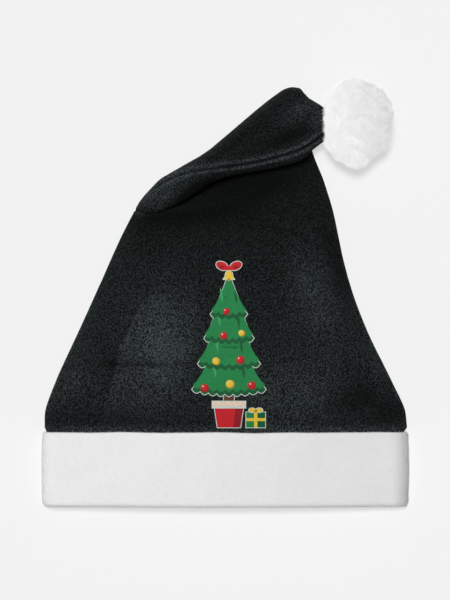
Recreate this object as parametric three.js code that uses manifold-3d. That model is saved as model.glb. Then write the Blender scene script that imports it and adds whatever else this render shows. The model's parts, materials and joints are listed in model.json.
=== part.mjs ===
// A santa hat of dark fleece, lying flat on its back with the tip folded over its front.
// Millimetres, +Z up. +Y runs from the cuff to the tip, and the hat's front faces up.
// Its pieces are the fleece crown, the folded white plush cuff round the mouth, and the pompom.

import * as THREE from "three";
import { mergeVertices } from "three/addons/utils/BufferGeometryUtils.js";
import Module from "manifold-3d";

const wasm = await Module();
wasm.setup();

// Outline sizes
const CUFF_WIDTH = 290; // across the flattened cuff, half of a 580 head size
const CUFF_HEIGHT = 59;
const CROWN_LENGTH = 273; // from the cuff's top edge to the top corner of the folded tip

// Cloth
const FLEECE_WALL = 2;
const PRESSED_WALL = 1.3; // the same fleece where the fold presses it
const PLUSH_LEAF = 2.4; // one of the two leaves of the folded cuff
const SEWING_GAP = 0.5; // between the crown's edge and each leaf
const LAYER_GAP = 0.5; // least space between the two layers of the crown
const SEAM_DEPTH = 14; // how far the crown's edge reaches down between the leaves

// Heights of the lying hat
const EDGE_HEIGHT = 9; // side edges above the floor
const SHOULDER_RISE = 8; // from a side edge up to the front
const FRONT_DOME = 10; // how far the middle of the front stands above its shoulders
const DOME_POWER = 1.5; // higher where the dome gathers in the middle
const EDGE_ROLL = 14; // width over which a side edge of the crown rounds
const CUFF_ROLL = 11; // the same at the cuff
const CUFF_BULGE = 0.8; // how far the cuff swells between its edges

// The fold of the tip
const FOLD_RADIUS = 6; // of the bend, measured to the middle between the two layers
const FOLDED_HALF = 4.3; // half the thickness of the two folded layers
const FOLDED_ROLL = 8;
const BEND_ROLL = 13; // rounding of both ends of the bend
const TIP_ROLL = 9; // width over which an edge of the folded tip rounds
const TIP_ROLL_SHARE = 0.12; // the same along its cross-sections
const FLAP_PUFF = 3.6; // how much the folded tip swells upwards
const FLAP_LIFT = 1.6; // air under the left lobe of the folded tip
const TIP_LIFT = 6; // how far the end of the tip rises into the pompom

// Seams
const SEAM_RIDGE = 0.9;
const SEAM_GROOVE = 1.1;
const SEAM_WIDTH = 12;
const SEAM_SLANT = 2; // widens the seam that crosses the folded tip's cross-sections at a slant
const SEAM_APART = 1.7; // least distance of that seam from the left edge, in half widths of a seam
const BEND_SEAM = 0.5; // share of the seam's relief on the upper half of the bend

// Pompom
const POMPOM_WIDTH = 59;
const POMPOM_LENGTH = 74;
const POMPOM_HEIGHT = 57;
const LOCK_HEIGHT = 4.5;
const LOCK_WIDTH = 16;
const LOCK_COUNT = 50;
const FOOT_DEPTH = 1.2; // what the floor flattens off the pompom
const SOCKET_GAP = 0.5; // between the tip and the pompom that is sewn on it

const UP = new THREE.Vector3(0, 0, 1);
const CUFF_ALLOWANCE = PLUSH_LEAF + SEWING_GAP;
const SEAT_HALF_WIDTH = CUFF_WIDTH / 2 - CUFF_BULGE - CUFF_ALLOWANCE;

// Crown from the cuff to the fold. left and right are the ends of each cross-section, as shares of
// the cuff's width and the crown's length. flat goes from 0, free, to 1, pressed under the fold.
// dome is a share of FRONT_DOME, raised of the cuff's leaf under the back, and relief of the ridges
// of the seams at both ends.
const BODY_ROWS = [
  { left: [-0.493, 0.014], right: [0.496, 0.014], flat: 0, dome: 1.1, raised: 0.9, relief: 0.3 },
  { left: [-0.489, 0.057], right: [0.49, 0.057], flat: 0, dome: 1.18, raised: 0.3, relief: 1 },
  { left: [-0.458, 0.15], right: [0.45, 0.15], flat: 0, dome: 1.28, raised: 0, relief: 1 },
  { left: [-0.398, 0.289], right: [0.386, 0.289], flat: 0, dome: 1.3, raised: 0, relief: 1 },
  { left: [-0.339, 0.429], right: [0.337, 0.429], flat: 0, dome: 1.15, raised: 0, relief: 1 },
  { left: [-0.29, 0.545], right: [0.309, 0.55], flat: 0.2, dome: 0.8, raised: 0, relief: 1 },
  { left: [-0.255, 0.625], right: [0.288, 0.661], flat: 0.62, dome: 0.25, raised: 0, relief: 1 },
  { left: [-0.244, 0.645], right: [0.269, 0.727], flat: 0.85, dome: 0.08, raised: 0, relief: 0.7 },
  { left: [-0.235, 0.652], right: [0.234, 0.829], flat: 0.96, dome: 0, raised: 0, relief: 0.3 },
  { left: [-0.231, 0.653], right: [0.214, 0.98], flat: 1, dome: 0, raised: 0, relief: 0 },
];

// The folded tip, from the fold to its end inside the pompom. bow bends the middle line of a row from
// straight, 0, to one that leaves the left end squarely, 1. puff is a share of FLAP_PUFF, air of
// FLAP_LIFT, tip of TIP_LIFT, and relief of the left seam's ridges.
const FLAP_ROWS = [
  { left: [-0.223, 0.649], right: [0.214, 0.98], bow: 0, puff: 0.2, air: 0.5, tip: 0, relief: 0.7 },
  { left: [-0.208, 0.64], right: [0.216, 0.978], bow: 1, puff: 0.6, air: 1, tip: 0, relief: 0.9 },
  { left: [-0.178, 0.648], right: [0.219, 0.975], bow: 1, puff: 0.9, air: 1, tip: 0, relief: 1 },
  { left: [-0.146, 0.665], right: [0.222, 0.971], bow: 1, puff: 1, air: 0.9, tip: 0, relief: 1 },
  { left: [-0.107, 0.693], right: [0.225, 0.968], bow: 1, puff: 0.9, air: 0.7, tip: 0, relief: 1 },
  { left: [-0.069, 0.725], right: [0.229, 0.964], bow: 1, puff: 0.8, air: 0.5, tip: 0, relief: 1 },
  { left: [-0.034, 0.742], right: [0.234, 0.961], bow: 0.9, puff: 0.8, air: 0.4, tip: 0, relief: 1 },
  { left: [0.018, 0.746], right: [0.24, 0.957], bow: 0.7, puff: 0.9, air: 0.3, tip: 0.05, relief: 1 },
  { left: [0.081, 0.754], right: [0.248, 0.952], bow: 0.4, puff: 1, air: 0.1, tip: 0.12, relief: 1 },
  { left: [0.149, 0.766], right: [0.257, 0.946], bow: 0.2, puff: 1, air: 0, tip: 0.25, relief: 1 },
  { left: [0.206, 0.785], right: [0.268, 0.937], bow: 0, puff: 0.9, air: 0, tip: 0.45, relief: 1 },
  { left: [0.239, 0.817], right: [0.28, 0.928], bow: 0, puff: 0.7, air: 0, tip: 0.65, relief: 0.9 },
  { left: [0.269, 0.843], right: [0.292, 0.917], bow: 0, puff: 0.4, air: 0, tip: 0.85, relief: 0.6 },
  { left: [0.299, 0.864], right: [0.307, 0.901], bow: 0, puff: 0.1, air: 0, tip: 1, relief: 0.2 },
];

// How far the bend stands out along the fold, from its left end, 0, to its right end, 1. reach is a
// share of the bend's full size. It is slimmest at a waist before the middle.
const FOLD_REACH = [
  { along: 0, reach: 0.62 },
  { along: 0.06, reach: 0.62 },
  { along: 0.1, reach: 0.68 },
  { along: 0.16, reach: 0.82 },
  { along: 0.29, reach: 0.74 },
  { along: 0.42, reach: 0.62 },
  { along: 0.52, reach: 0.7 },
  { along: 0.68, reach: 1.08 },
  { along: 0.82, reach: 1.13 },
  { along: 0.91, reach: 1.15 },
  { along: 0.975, reach: 1.02 },
  { along: 1, reach: 0.7 },
];

// The left seam's way over the folded tip, from the fold to the pompom, as shares.
const SEAM_PATH = [
  { x: -0.216, y: 0.684 },
  { x: -0.2, y: 0.7 },
  { x: -0.163, y: 0.725 },
  { x: -0.127, y: 0.742 },
  { x: -0.088, y: 0.754 },
  { x: -0.047, y: 0.759 },
  { x: 0.001, y: 0.766 },
  { x: 0.053, y: 0.772 },
  { x: 0.113, y: 0.785 },
  { x: 0.165, y: 0.8 },
  { x: 0.213, y: 0.819 },
  { x: 0.245, y: 0.841 },
  { x: 0.265, y: 0.855 },
  { x: 0.299, y: 0.877 },
];

// Soft dents in what faces up of the body or of the folded tip. x and y are shares as above, long,
// wide and depth are millimetres, and turn is the direction of the long side in degrees from +X. A
// negative depth is a swelling.
const DENTS = [
  { part: "body", x: -0.295, y: 0.159, long: 34, wide: 11, turn: 68, depth: 3 },
  { part: "body", x: -0.178, y: 0.252, long: 26, wide: 22, turn: 80, depth: -2.2 },
  { part: "body", x: 0.4, y: 0.069, long: 34, wide: 20, turn: 25, depth: 3.5 },
  { part: "body", x: 0.253, y: 0.426, long: 40, wide: 13, turn: 110, depth: -2 },
  { part: "body", x: 0.135, y: 0.136, long: 42, wide: 26, turn: 0, depth: -1.8 },
  { part: "body", x: -0.43, y: 0.1, long: 16, wide: 12, turn: 60, depth: -1.2 },
  { part: "tip", x: 0.212, y: 0.852, long: 15, wide: 6, turn: 25, depth: 2 },
  { part: "tip", x: 0.116, y: 0.846, long: 16, wide: 9, turn: 10, depth: 1.2 },
];

// Mesh steps
const CORNER_STEPS = 12; // points on a rolled edge of a cross-section before it is spaced out again
const SPAN_STEPS = 40; // points between its two edges
const BODY_STEPS = 2; // rows made from each row of the body's table
const FOLD_STEPS = 6;
const FRONT_COLUMNS = 20;
const BACK_COLUMNS = 9;
const CAVITY_END = 3; // the hollow ends this many rows before the tip
const TIP_INNER_STEP = 2; // rows of the folded tip from one row of its inner surface to the next
const SOCKET_ROWS = 4; // rows of the tip that are inside the pompom or close to it
const ARC_STEPS = 4; // of a rounded edge of the cuff

// Places of the seam's ridges and groove, as shares of the seam's width and of its relief
const SEAM_PROFILE = [
  { across: -0.5, ridge: 0, groove: 0 },
  { across: -0.22, ridge: 1, groove: 0 },
  { across: 0, ridge: 0, groove: 1 },
  { across: 0.22, ridge: 1, groove: 0 },
  { across: 0.5, ridge: 0, groove: 0 },
];
const SMALL_OUTLINE = 90; // seams narrow where a cross-section is shorter round than this

const mix = THREE.MathUtils.lerp;

// A value between b and c, at share t, on a smooth curve that also runs through a and d. A list of
// values is worked out value by value.
function curveThrough(a, b, c, d, t) {
  if (Array.isArray(b)) {
    return b.map((_, k) => curveThrough(a[k], b[k], c[k], d[k], t));
  }
  const bend = 2 * b + (c - a) * t + (2 * a - 5 * b + 4 * c - d) * t * t;
  return 0.5 * (bend + (3 * b - a - 3 * c + d) * t * t * t);
}

// Rows between the table's rows, on a smooth curve through every column of the table.
function smoothRows(table, steps) {
  const rows = [];
  const at = (i) => table[THREE.MathUtils.clamp(i, 0, table.length - 1)];
  for (let i = 0; i < table.length - 1; i++) {
    for (let step = 0; step < steps; step++) {
      const t = step / steps;
      const row = {};
      for (const key of Object.keys(table[i])) {
        row[key] = curveThrough(at(i - 1)[key], at(i)[key], at(i + 1)[key], at(i + 2)[key], t);
      }
      rows.push(row);
    }
  }
  return [...rows, table[table.length - 1]];
}

const planPoint = (x, y) => new THREE.Vector3(x * CUFF_WIDTH, y * CROWN_LENGTH, 0);

// A cross-section whose middle line is straight and whose two ends are rounded.
function straightSection(left, right, shape) {
  const length = left.distanceTo(right);
  return {
    centre: (along) => left.clone().lerp(right, along),
    margin: (along) => Math.min(along, 1 - along) * length,
    rollShare: Math.min(shape.roll / length, 0.49),
    ...shape,
  };
}

const SEAT_ROWS = [-SEAM_DEPTH, -SEAM_DEPTH / 2, 0];

// Cross-section where the cuff holds the crown. grow moves the outline outwards.
function seatSection(y, grow) {
  const swell = CUFF_BULGE * (1 - ((2 * y) / CUFF_HEIGHT + 1) ** 2);
  const half = SEAT_HALF_WIDTH + grow + swell;
  const left = new THREE.Vector3(-half, y, EDGE_HEIGHT);
  const right = new THREE.Vector3(half, y, EDGE_HEIGHT);
  return straightSection(left, right, {
    toFront: UP,
    rise: SHOULDER_RISE + grow,
    fall: EDGE_HEIGHT - CUFF_ALLOWANCE + grow,
    dome: FRONT_DOME,
    crest: 0,
    roll: CUFF_ROLL + grow,
    edgeRelief: 0,
  });
}

function bodySection(row) {
  const edge = mix(EDGE_HEIGHT, FOLDED_HALF, row.flat);
  const left = planPoint(...row.left).setZ(edge);
  const right = planPoint(...row.right).setZ(edge);
  return straightSection(left, right, {
    toFront: UP,
    rise: mix(SHOULDER_RISE, FOLDED_HALF, row.flat),
    fall: edge - row.raised * CUFF_ALLOWANCE,
    dome: row.dome * FRONT_DOME,
    crest: 0,
    roll: mix(EDGE_ROLL, FOLDED_ROLL, row.flat),
    edgeRelief: row.relief,
  });
}

// Ends of the body's last row and of the folded tip's first row, and the horizontal direction in
// which the bend between them stands out.
function foldEnds() {
  const last = BODY_ROWS[BODY_ROWS.length - 1];
  const first = FLAP_ROWS[0];
  const right = planPoint(...last.right);
  const lastLeft = planPoint(...last.left);
  const firstLeft = planPoint(...first.left);
  const along = right.clone().sub(lastLeft).normalize();
  return { right, lastLeft, firstLeft, outward: new THREE.Vector3(-along.y, along.x, 0) };
}

function foldReach(along) {
  const after = FOLD_REACH.findIndex((place) => place.along >= along);
  const [from, to] = [FOLD_REACH[Math.max(after - 1, 0)], FOLD_REACH[Math.max(after, 1)]];
  const share = THREE.MathUtils.smoothstep(along, from.along, to.along);
  return mix(from.reach, to.reach, share);
}

// Cross-section at an angle round the fold, from 0 on the body to 180 degrees on the folded tip.
function foldSection(angle) {
  const { right, lastLeft, firstLeft, outward } = foldEnds();
  const turned = angle / Math.PI;
  const shift = outward.clone().multiplyScalar(FOLD_RADIUS * Math.sin(angle));
  shift.z = FOLDED_HALF + FOLD_RADIUS * (1 - Math.cos(angle));
  const left = lastLeft.lerp(firstLeft, turned).add(shift);
  return straightSection(left, right.add(shift), {
    toFront: UP.clone().multiplyScalar(Math.cos(angle)).addScaledVector(outward, -Math.sin(angle)),
    rise: FOLDED_HALF,
    fall: FOLDED_HALF,
    dome: 0,
    crest: 0,
    roll: mix(FOLDED_ROLL, BEND_ROLL, Math.sin(angle)),
    edgeRelief: 0,
    seamRelief: turned > 0.5 ? BEND_SEAM : 0,
    bend: { outward, sine: Math.sin(angle), radius: FOLD_RADIUS },
  });
}

// Distance in the plan from a point to a path of points. It is positive left of the path.
function pathDistance(point, path) {
  let nearest = Infinity;
  let side = 1;
  for (let i = 0; i < path.length - 1; i++) {
    const segment = path[i + 1].clone().sub(path[i]).setZ(0);
    const offset = point.clone().sub(path[i]).setZ(0);
    const share = THREE.MathUtils.clamp(offset.dot(segment) / segment.lengthSq(), 0, 1);
    const distance = offset.clone().addScaledVector(segment, -share).length();
    if (distance < nearest - 1e-9) {
      nearest = distance;
      side = Math.sign(segment.x * offset.y - segment.y * offset.x) || 1;
    }
  }
  return side * nearest;
}

// Cross-section of the folded tip. Its middle line is a curve from the lower edge to the right edge,
// and the layers round off with the distance to those edges.
function flapSection(row) {
  const height = FOLDED_HALF + 2 * FOLD_RADIUS + row.air * FLAP_LIFT + row.tip * TIP_LIFT;
  const left = planPoint(...row.left).setZ(height);
  const right = planPoint(...row.right).setZ(height);
  const { outward } = foldEnds();
  const depth = right.clone().sub(left).dot(outward);
  const corner = left.clone().addScaledVector(outward, depth);
  const middle = left.clone().lerp(right, 0.5);
  const control = middle.lerp(corner, row.bow);
  const curve = new THREE.QuadraticBezierCurve3(left, control, right);
  const edges = ["left", "right"].map((side) =>
    FLAP_ROWS.map((place) => planPoint(...place[side])),
  );
  return {
    centre: (along) => curve.getPoint(along),
    margin: (along, point) => {
      const toEdges = Math.min(...edges.map((edge) => Math.abs(pathDistance(point, edge))));
      return along % 1 === 0 ? 0 : toEdges; // both ends lie on an edge
    },
    rollShare: TIP_ROLL_SHARE,
    toFront: UP.clone().negate(),
    rise: FOLDED_HALF,
    fall: FOLDED_HALF + (row.puff * FLAP_PUFF) / 2,
    dome: 0,
    crest: (row.puff * FLAP_PUFF) / 2,
    roll: TIP_ROLL,
    edgeRelief: 0,
    seamRelief: row.relief,
  };
}

// Shares along a middle line, closer together within its rolled ends.
function sharesAlong(rollShare) {
  const corner = Array.from({ length: CORNER_STEPS }, (_, i) => {
    return rollShare * (1 - Math.cos((Math.PI * i) / (2 * CORNER_STEPS)));
  });
  const span = Array.from({ length: SPAN_STEPS + 1 }, (_, i) => {
    return mix(rollShare, 1 - rollShare, i / SPAN_STEPS);
  });
  return [...corner, ...span, ...corner.toReversed().map((share) => 1 - share)];
}

// The closed outline of a cross-section: from its left end over the front layer to its right end,
// and back along the back layer. Both ends are rounded over the section's roll.
function sectionOutline(section) {
  const shares = sharesAlong(section.rollShare);
  const onLayer = (along, height, swell) => {
    const point = section.centre(along);
    const inset = Math.min(section.margin(along, point) / section.roll, 1);
    const edge = Math.sqrt(1 - (1 - inset) ** 2);
    const rise = height * edge + swell * (4 * along * (1 - along)) ** DOME_POWER;
    point.addScaledVector(section.toFront, rise);
    if (section.bend) {
      const { outward, sine, radius } = section.bend;
      const out = radius * sine - rise * sine;
      point.addScaledVector(outward, out * (foldReach(along) - 1));
    }
    return point;
  };
  const front = shares.map((along) => onLayer(along, section.rise, section.dome));
  const back = shares.toReversed().map((along) => onLayer(along, -section.fall, -section.crest));
  return [...front.slice(0, -1), ...back.slice(0, -1)];
}

// Lengths along a closed outline, one more than it has points.
function lengthsAlong(outline) {
  const lengths = [0];
  outline.forEach((point, i) => {
    const next = outline[(i + 1) % outline.length];
    lengths.push(lengths[i] + point.distanceTo(next));
  });
  return lengths;
}

// The step of a closed outline that holds a distance along it, and the share of that step.
function placeAlong(lengths, distance) {
  const last = lengths.length - 1;
  const wanted = THREE.MathUtils.euclideanModulo(distance, lengths[last]);
  let step = 0;
  while (step < last - 1 && lengths[step + 1] < wanted) {
    step++;
  }
  return { step, share: (wanted - lengths[step]) / (lengths[step + 1] - lengths[step]) };
}

// A share from 0 to 1 that moves slowly near both ends, so that columns gather at the rolled edges.
const easeEnds = (t) => t - 0.1 * Math.sin(2 * Math.PI * t);

// How far the left seam is from a section's left end along its back layer.
function seamShift(section, outline, lengths) {
  if (!section.seamRelief) {
    return SEAM_WIDTH;
  }
  const path = SEAM_PATH.map((place) => planPoint(place.x, place.y));
  let i = outline.length - 1;
  while (i > outline.length / 2 && pathDistance(outline[i], path) < 0) {
    i--;
  }
  return lengths[outline.length] - lengths[i];
}

// Points of a cross-section in columns: its left end, the front, its right end, the back, and what
// the back carries of the left seam. layer is 1 on the front and -1 on the back, and height is what
// the seams' relief adds there. The columns are spaced out along guide, so that cross-sections with
// the same guide have matching columns.
function sectionColumns(section, guide = section) {
  const outline = sectionOutline(section);
  const guideOutline = sectionOutline(guide);
  const lengths = lengthsAlong(guideOutline);
  const total = lengths[outline.length];
  const rightEnd = lengths[outline.length / 2];
  const small = Math.min(1, total / SMALL_OUTLINE);
  const half = (SEAM_WIDTH * small) / 2;
  const shift = Math.max(seamShift(guide, guideOutline, lengths), SEAM_APART * half);
  const seamHalf = Math.min(SEAM_SLANT * half, 0.85 * (shift - half));
  const columns = [];
  const add = (distance, height) => {
    const { step, share } = placeAlong(lengths, distance);
    const point = outline[step].clone().lerp(outline[(step + 1) % outline.length], share);
    columns.push({ point, height, layer: step < outline.length / 2 ? 1 : -1 });
  };
  const addSeam = (centre, halfWidth, relief) => {
    for (const place of SEAM_PROFILE) {
      const height = place.ridge * SEAM_RIDGE - place.groove * SEAM_GROOVE;
      add(centre + 2 * place.across * halfWidth, height * (relief ?? 0) * small);
    }
  };
  const addLayer = (from, to, count) => {
    for (let i = 1; i <= count; i++) {
      add(mix(from, to, easeEnds(i / (count + 1))), 0);
    }
  };
  addSeam(0, half, section.edgeRelief);
  addLayer(half, rightEnd - half, FRONT_COLUMNS);
  addSeam(rightEnd, half, section.edgeRelief);
  addLayer(rightEnd + half, total - shift - seamHalf, BACK_COLUMNS);
  addSeam(total - shift, seamHalf, section.seamRelief);
  addLayer(total - shift + seamHalf, total - half, 1);
  return columns;
}

// Points of a cross-section in the cuff, in columns that match for every grow.
function seatColumns(y, grow) {
  return sectionColumns(seatSection(y, grow), seatSection(y, 0)).map((column) => column.point);
}

// Outward directions of a grid of points whose columns close on themselves.
function outwardNormals(grid) {
  const columns = grid[0].length;
  const rowAt = (i) => grid[THREE.MathUtils.clamp(i, 0, grid.length - 1)];
  return grid.map((row, i) =>
    row.map((_, j) => {
      const across = row[(j + 1) % columns].clone().sub(row[(j + columns - 1) % columns]);
      const along = rowAt(i + 1)[j].clone().sub(rowAt(i - 1)[j]);
      return across.cross(along).normalize();
    }),
  );
}

const offsetGrid = (grid, normals, distance) =>
  grid.map((row, i) => row.map((point, j) => point.clone().addScaledVector(normals[i][j], distance)));

// How far the dents of a part push in a point.
function dentDepth(point, part) {
  let depth = 0;
  for (const dent of DENTS) {
    if (dent.part === part) {
      const turn = THREE.MathUtils.degToRad(dent.turn);
      const offset = point.clone().sub(planPoint(dent.x, dent.y));
      const along = offset.x * Math.cos(turn) + offset.y * Math.sin(turn);
      const across = offset.y * Math.cos(turn) - offset.x * Math.sin(turn);
      depth += dent.depth * Math.exp(-((along / dent.long) ** 2) - (across / dent.wide) ** 2);
    }
  }
  return depth;
}

// Cross-sections from the mouth to the end of the tip, and their rows of columns, dents included.
function crownRows() {
  const fold = Array.from({ length: FOLD_STEPS - 1 }, (_, step) => {
    return foldSection((Math.PI * (step + 1)) / FOLD_STEPS);
  });
  const seats = SEAT_ROWS.map((y) => seatSection(y, 0));
  const body = smoothRows(BODY_ROWS, BODY_STEPS).map(bodySection);
  const flap = FLAP_ROWS.map(flapSection);
  const sections = [...seats, ...body, ...fold, ...flap];
  const rows = sections.map((section) => sectionColumns(section));
  const normals = outwardNormals(rows.map((row) => row.map((column) => column.point)));
  const bodyEnd = seats.length + body.length;
  rows.slice(seats.length).forEach((row, i) => {
    const part = i + seats.length < bodyEnd ? "body" : "tip";
    row.forEach((column, j) => {
      const normal = normals[i + seats.length][j];
      const depth = dentDepth(column.point, part) * Math.max(normal.z, 0);
      column.point.addScaledVector(normal, -depth);
    });
  });
  return { sections, rows };
}

// Triangles of a surface from a grid of points, facing along across x along.
function gridTriangles(first, rows, columns, closedRows) {
  const triangles = [];
  const at = (i, j) => first + (i % rows) * columns + (j % columns);
  for (let i = 0; i < (closedRows ? rows : rows - 1); i++) {
    for (let j = 0; j < columns; j++) {
      triangles.push([at(i, j), at(i, j + 1), at(i + 1, j + 1)]);
      triangles.push([at(i, j), at(i + 1, j + 1), at(i + 1, j)]);
    }
  }
  return triangles;
}

function geometryFrom(points, triangles) {
  const geometry = new THREE.BufferGeometry().setFromPoints(points);
  geometry.setIndex(triangles.flat());
  geometry.computeVertexNormals();
  return geometry;
}

const reversed = (triangles) => triangles.map(([a, b, c]) => [a, c, b]);

const centreOf = (points) =>
  points.reduce((sum, point) => sum.add(point), new THREE.Vector3()).divideScalar(points.length);

// Triangles that close a ring of points with its centre, facing along the rows.
function fan(first, columns, centre) {
  return Array.from({ length: columns }, (_, j) => [first + j, first + ((j + 1) % columns), centre]);
}

// The crown's surface with its seams, the outward directions of its smooth surface, and the surface
// inside its wall. The two layers inside stay apart where the folded tip is thin.
function crownSurface() {
  const { sections, rows } = crownRows();
  const smooth = rows.map((row) => row.map((column) => column.point));
  const normals = outwardNormals(smooth);
  const seamed = smooth.map((row, i) =>
    row.map((point, j) => {
      const raised = point.clone().addScaledVector(normals[i][j], rows[i][j].height);
      return raised.setZ(Math.max(raised.z, 0)); // the floor flattens the seams under the hat
    }),
  );
  const tipStart = rows.length - FLAP_ROWS.length;
  const seated = SEAT_ROWS.map((y) => seatColumns(y, -FLEECE_WALL));
  const thick = offsetGrid(smooth.slice(0, tipStart), normals, -FLEECE_WALL);
  const pressed = offsetGrid(smooth.slice(tipStart), normals.slice(tipStart), -PRESSED_WALL);
  const inner = [...seated, ...thick.slice(seated.length), ...pressed];
  inner.forEach((row, i) => {
    const { centre, toFront, bend } = sections[i];
    row.forEach((point, j) => {
      const { layer } = rows[i][j];
      const level = point.clone().sub(centre(0)).dot(toFront) * layer;
      if (!bend && level < LAYER_GAP / 2) {
        point.addScaledVector(toFront, (LAYER_GAP / 2 - level) * layer);
      }
    });
  });
  return { normals, seamed, inner };
}

// The crown: one fleece wall, open at the mouth and closed at the tip.
function crownGeometry() {
  const { seamed, inner: whole } = crownSurface();
  const tipStart = whole.length - FLAP_ROWS.length;
  const kept = (i) => i <= tipStart || (i - tipStart) % TIP_INNER_STEP === 0;
  const inner = whole.filter((_, i) => kept(i) && i < whole.length - CAVITY_END);
  const columns = seamed[0].length;
  const outerCount = seamed.length * columns;
  const innerCount = inner.length * columns;
  const points = [...seamed.flat(), ...inner.flat()];
  points.push(centreOf(seamed[seamed.length - 1]), centreOf(inner[inner.length - 1]));
  const tip = outerCount + innerCount;
  const rim = [];
  for (let j = 0; j < columns; j++) {
    const next = (j + 1) % columns;
    rim.push([j, outerCount + j, outerCount + next], [j, outerCount + next, next]);
  }
  const lastInnerRow = tip - columns;
  return geometryFrom(points, [
    ...gridTriangles(0, seamed.length, columns, false),
    ...fan(outerCount - columns, columns, tip),
    ...rim,
    ...reversed(gridTriangles(outerCount, inner.length, columns, false)),
    ...reversed(fan(lastInnerRow, columns, tip + 1)),
  ]);
}

// Points of an arc in the cuff's profile, from one angle to another in degrees. 0 points out of the
// hat and 90 along +Y.
function profileArc(y, grow, radius, from, to) {
  return Array.from({ length: ARC_STEPS + 1 }, (_, i) => {
    const angle = THREE.MathUtils.degToRad(mix(from, to, i / ARC_STEPS));
    return { y: y + radius * Math.sin(angle), grow: grow + radius * Math.cos(angle) };
  });
}

// The cuff: a band folded over at its bottom edge, with the crown's edge between its two leaves.
function cuffGeometry() {
  const leafRadius = PLUSH_LEAF / 2;
  const slotRadius = SEWING_GAP + FLEECE_WALL / 2;
  const foldRadius = slotRadius + PLUSH_LEAF;
  const middle = -FLEECE_WALL / 2; // halfway between the leaves
  const foldY = foldRadius - CUFF_HEIGHT;
  const outerLeaf = middle + slotRadius + leafRadius;
  const innerLeaf = middle - slotRadius - leafRadius;
  const halfway = foldY / 2;
  const profile = [
    ...profileArc(-leafRadius, outerLeaf, leafRadius, 0, 180),
    { y: halfway, grow: middle + slotRadius },
    ...profileArc(foldY, middle, slotRadius, 0, -180),
    { y: halfway, grow: middle - slotRadius },
    ...profileArc(-leafRadius, innerLeaf, leafRadius, 0, 180),
    { y: halfway, grow: middle - foldRadius },
    ...profileArc(foldY, middle, foldRadius, -180, 0),
    { y: halfway, grow: middle + foldRadius },
  ];
  const grid = profile.map(({ y, grow }) => seatColumns(y, grow));
  return geometryFrom(grid.flat(), gridTriangles(0, grid.length, grid[0].length, true));
}

// Distance from the pompom's centre to its surface in a direction. The outline is a rounded diamond.
function pompomRadius(direction, sink) {
  const power = 1.8;
  const x = Math.abs(direction.x) / (POMPOM_WIDTH / 2 - sink);
  const y = Math.abs(direction.y) / (POMPOM_LENGTH / 2 - sink);
  const z = Math.abs(direction.z) / (POMPOM_HEIGHT / 2 - sink);
  return (x ** power + y ** power + z ** power) ** (-1 / power);
}

function solidFrom(geometry) {
  const bare = new THREE.BufferGeometry().setAttribute("position", geometry.getAttribute("position"));
  bare.setIndex(geometry.index);
  const merged = mergeVertices(bare, 1e-3);
  return new wasm.Manifold(
    new wasm.Mesh({
      numProp: 3,
      vertProperties: merged.attributes.position.array,
      triVerts: new Uint32Array(merged.index.array),
    }),
  );
}

function geometryOf(solid) {
  const mesh = solid.getMesh();
  const geometry = new THREE.BufferGeometry();
  geometry.setAttribute("position", new THREE.BufferAttribute(mesh.vertProperties, 3));
  geometry.setIndex(new THREE.BufferAttribute(mesh.triVerts, 1));
  geometry.computeVertexNormals();
  return geometry;
}

// The space the tip takes inside the pompom, with the gap round it.
function tipSocket() {
  const { normals, seamed } = crownSurface();
  const grown = offsetGrid(seamed, normals, SOCKET_GAP).slice(-SOCKET_ROWS);
  const last = grown[grown.length - 1];
  const behind = centreOf(grown[grown.length - 2]);
  const end = centreOf(last);
  const push = end.clone().sub(behind).setLength(2 * SOCKET_GAP);
  last.forEach((point) => point.add(push));
  const columns = last.length;
  const count = grown.length * columns;
  const points = [...grown.flat(), centreOf(grown[0]), end.add(push)];
  return geometryFrom(points, [
    ...gridTriangles(0, grown.length, columns, false),
    ...reversed(fan(0, columns, count)),
    ...fan(count - columns, columns, count + 1),
  ]);
}

// One tuft of the pompom, a long faceted bead that points along direction.
function lockGeometry(direction, index) {
  const half = LOCK_HEIGHT * (1.5 + 0.2 * Math.sin(2.4 * index));
  const lock = new THREE.IcosahedronGeometry(1, 0);
  lock.rotateY(index);
  lock.scale(LOCK_WIDTH / 2, half, LOCK_WIDTH / 2);
  const lean = new THREE.Vector3(Math.sin(5.1 * index), Math.cos(3.7 * index), 0).multiplyScalar(0.25);
  const aim = direction.clone().add(lean).normalize();
  lock.applyQuaternion(new THREE.Quaternion().setFromUnitVectors(new THREE.Vector3(0, 1, 0), aim));
  const reach = pompomRadius(direction, 0) - half * (0.95 + 0.1 * Math.sin(1.3 * index));
  lock.translate(direction.x * reach, direction.y * reach, direction.z * reach);
  return lock;
}

// The pompom round its own centre: tufts fused to a round core.
function pompomBall() {
  const core = new THREE.IcosahedronGeometry(1, 4);
  const place = core.getAttribute("position");
  for (let i = 0; i < place.count; i++) {
    const direction = new THREE.Vector3().fromBufferAttribute(place, i).normalize();
    direction.multiplyScalar(pompomRadius(direction, LOCK_HEIGHT));
    place.setXYZ(i, direction.x, direction.y, direction.z);
  }
  const golden = Math.PI * (3 - Math.sqrt(5));
  const solids = [solidFrom(core)];
  for (let i = 0; i < LOCK_COUNT; i++) {
    const z = 1 - (2 * (i + 0.5)) / LOCK_COUNT;
    const ring = Math.sqrt(1 - z * z);
    const direction = new THREE.Vector3(ring * Math.cos(golden * i), ring * Math.sin(golden * i), z);
    solids.push(solidFrom(lockGeometry(direction, i)));
  }
  return wasm.Manifold.union(solids);
}

const POMPOM_PLACE = { x: 0.36, y: 0.893 }; // shares of the cuff's width and the crown's length

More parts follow.
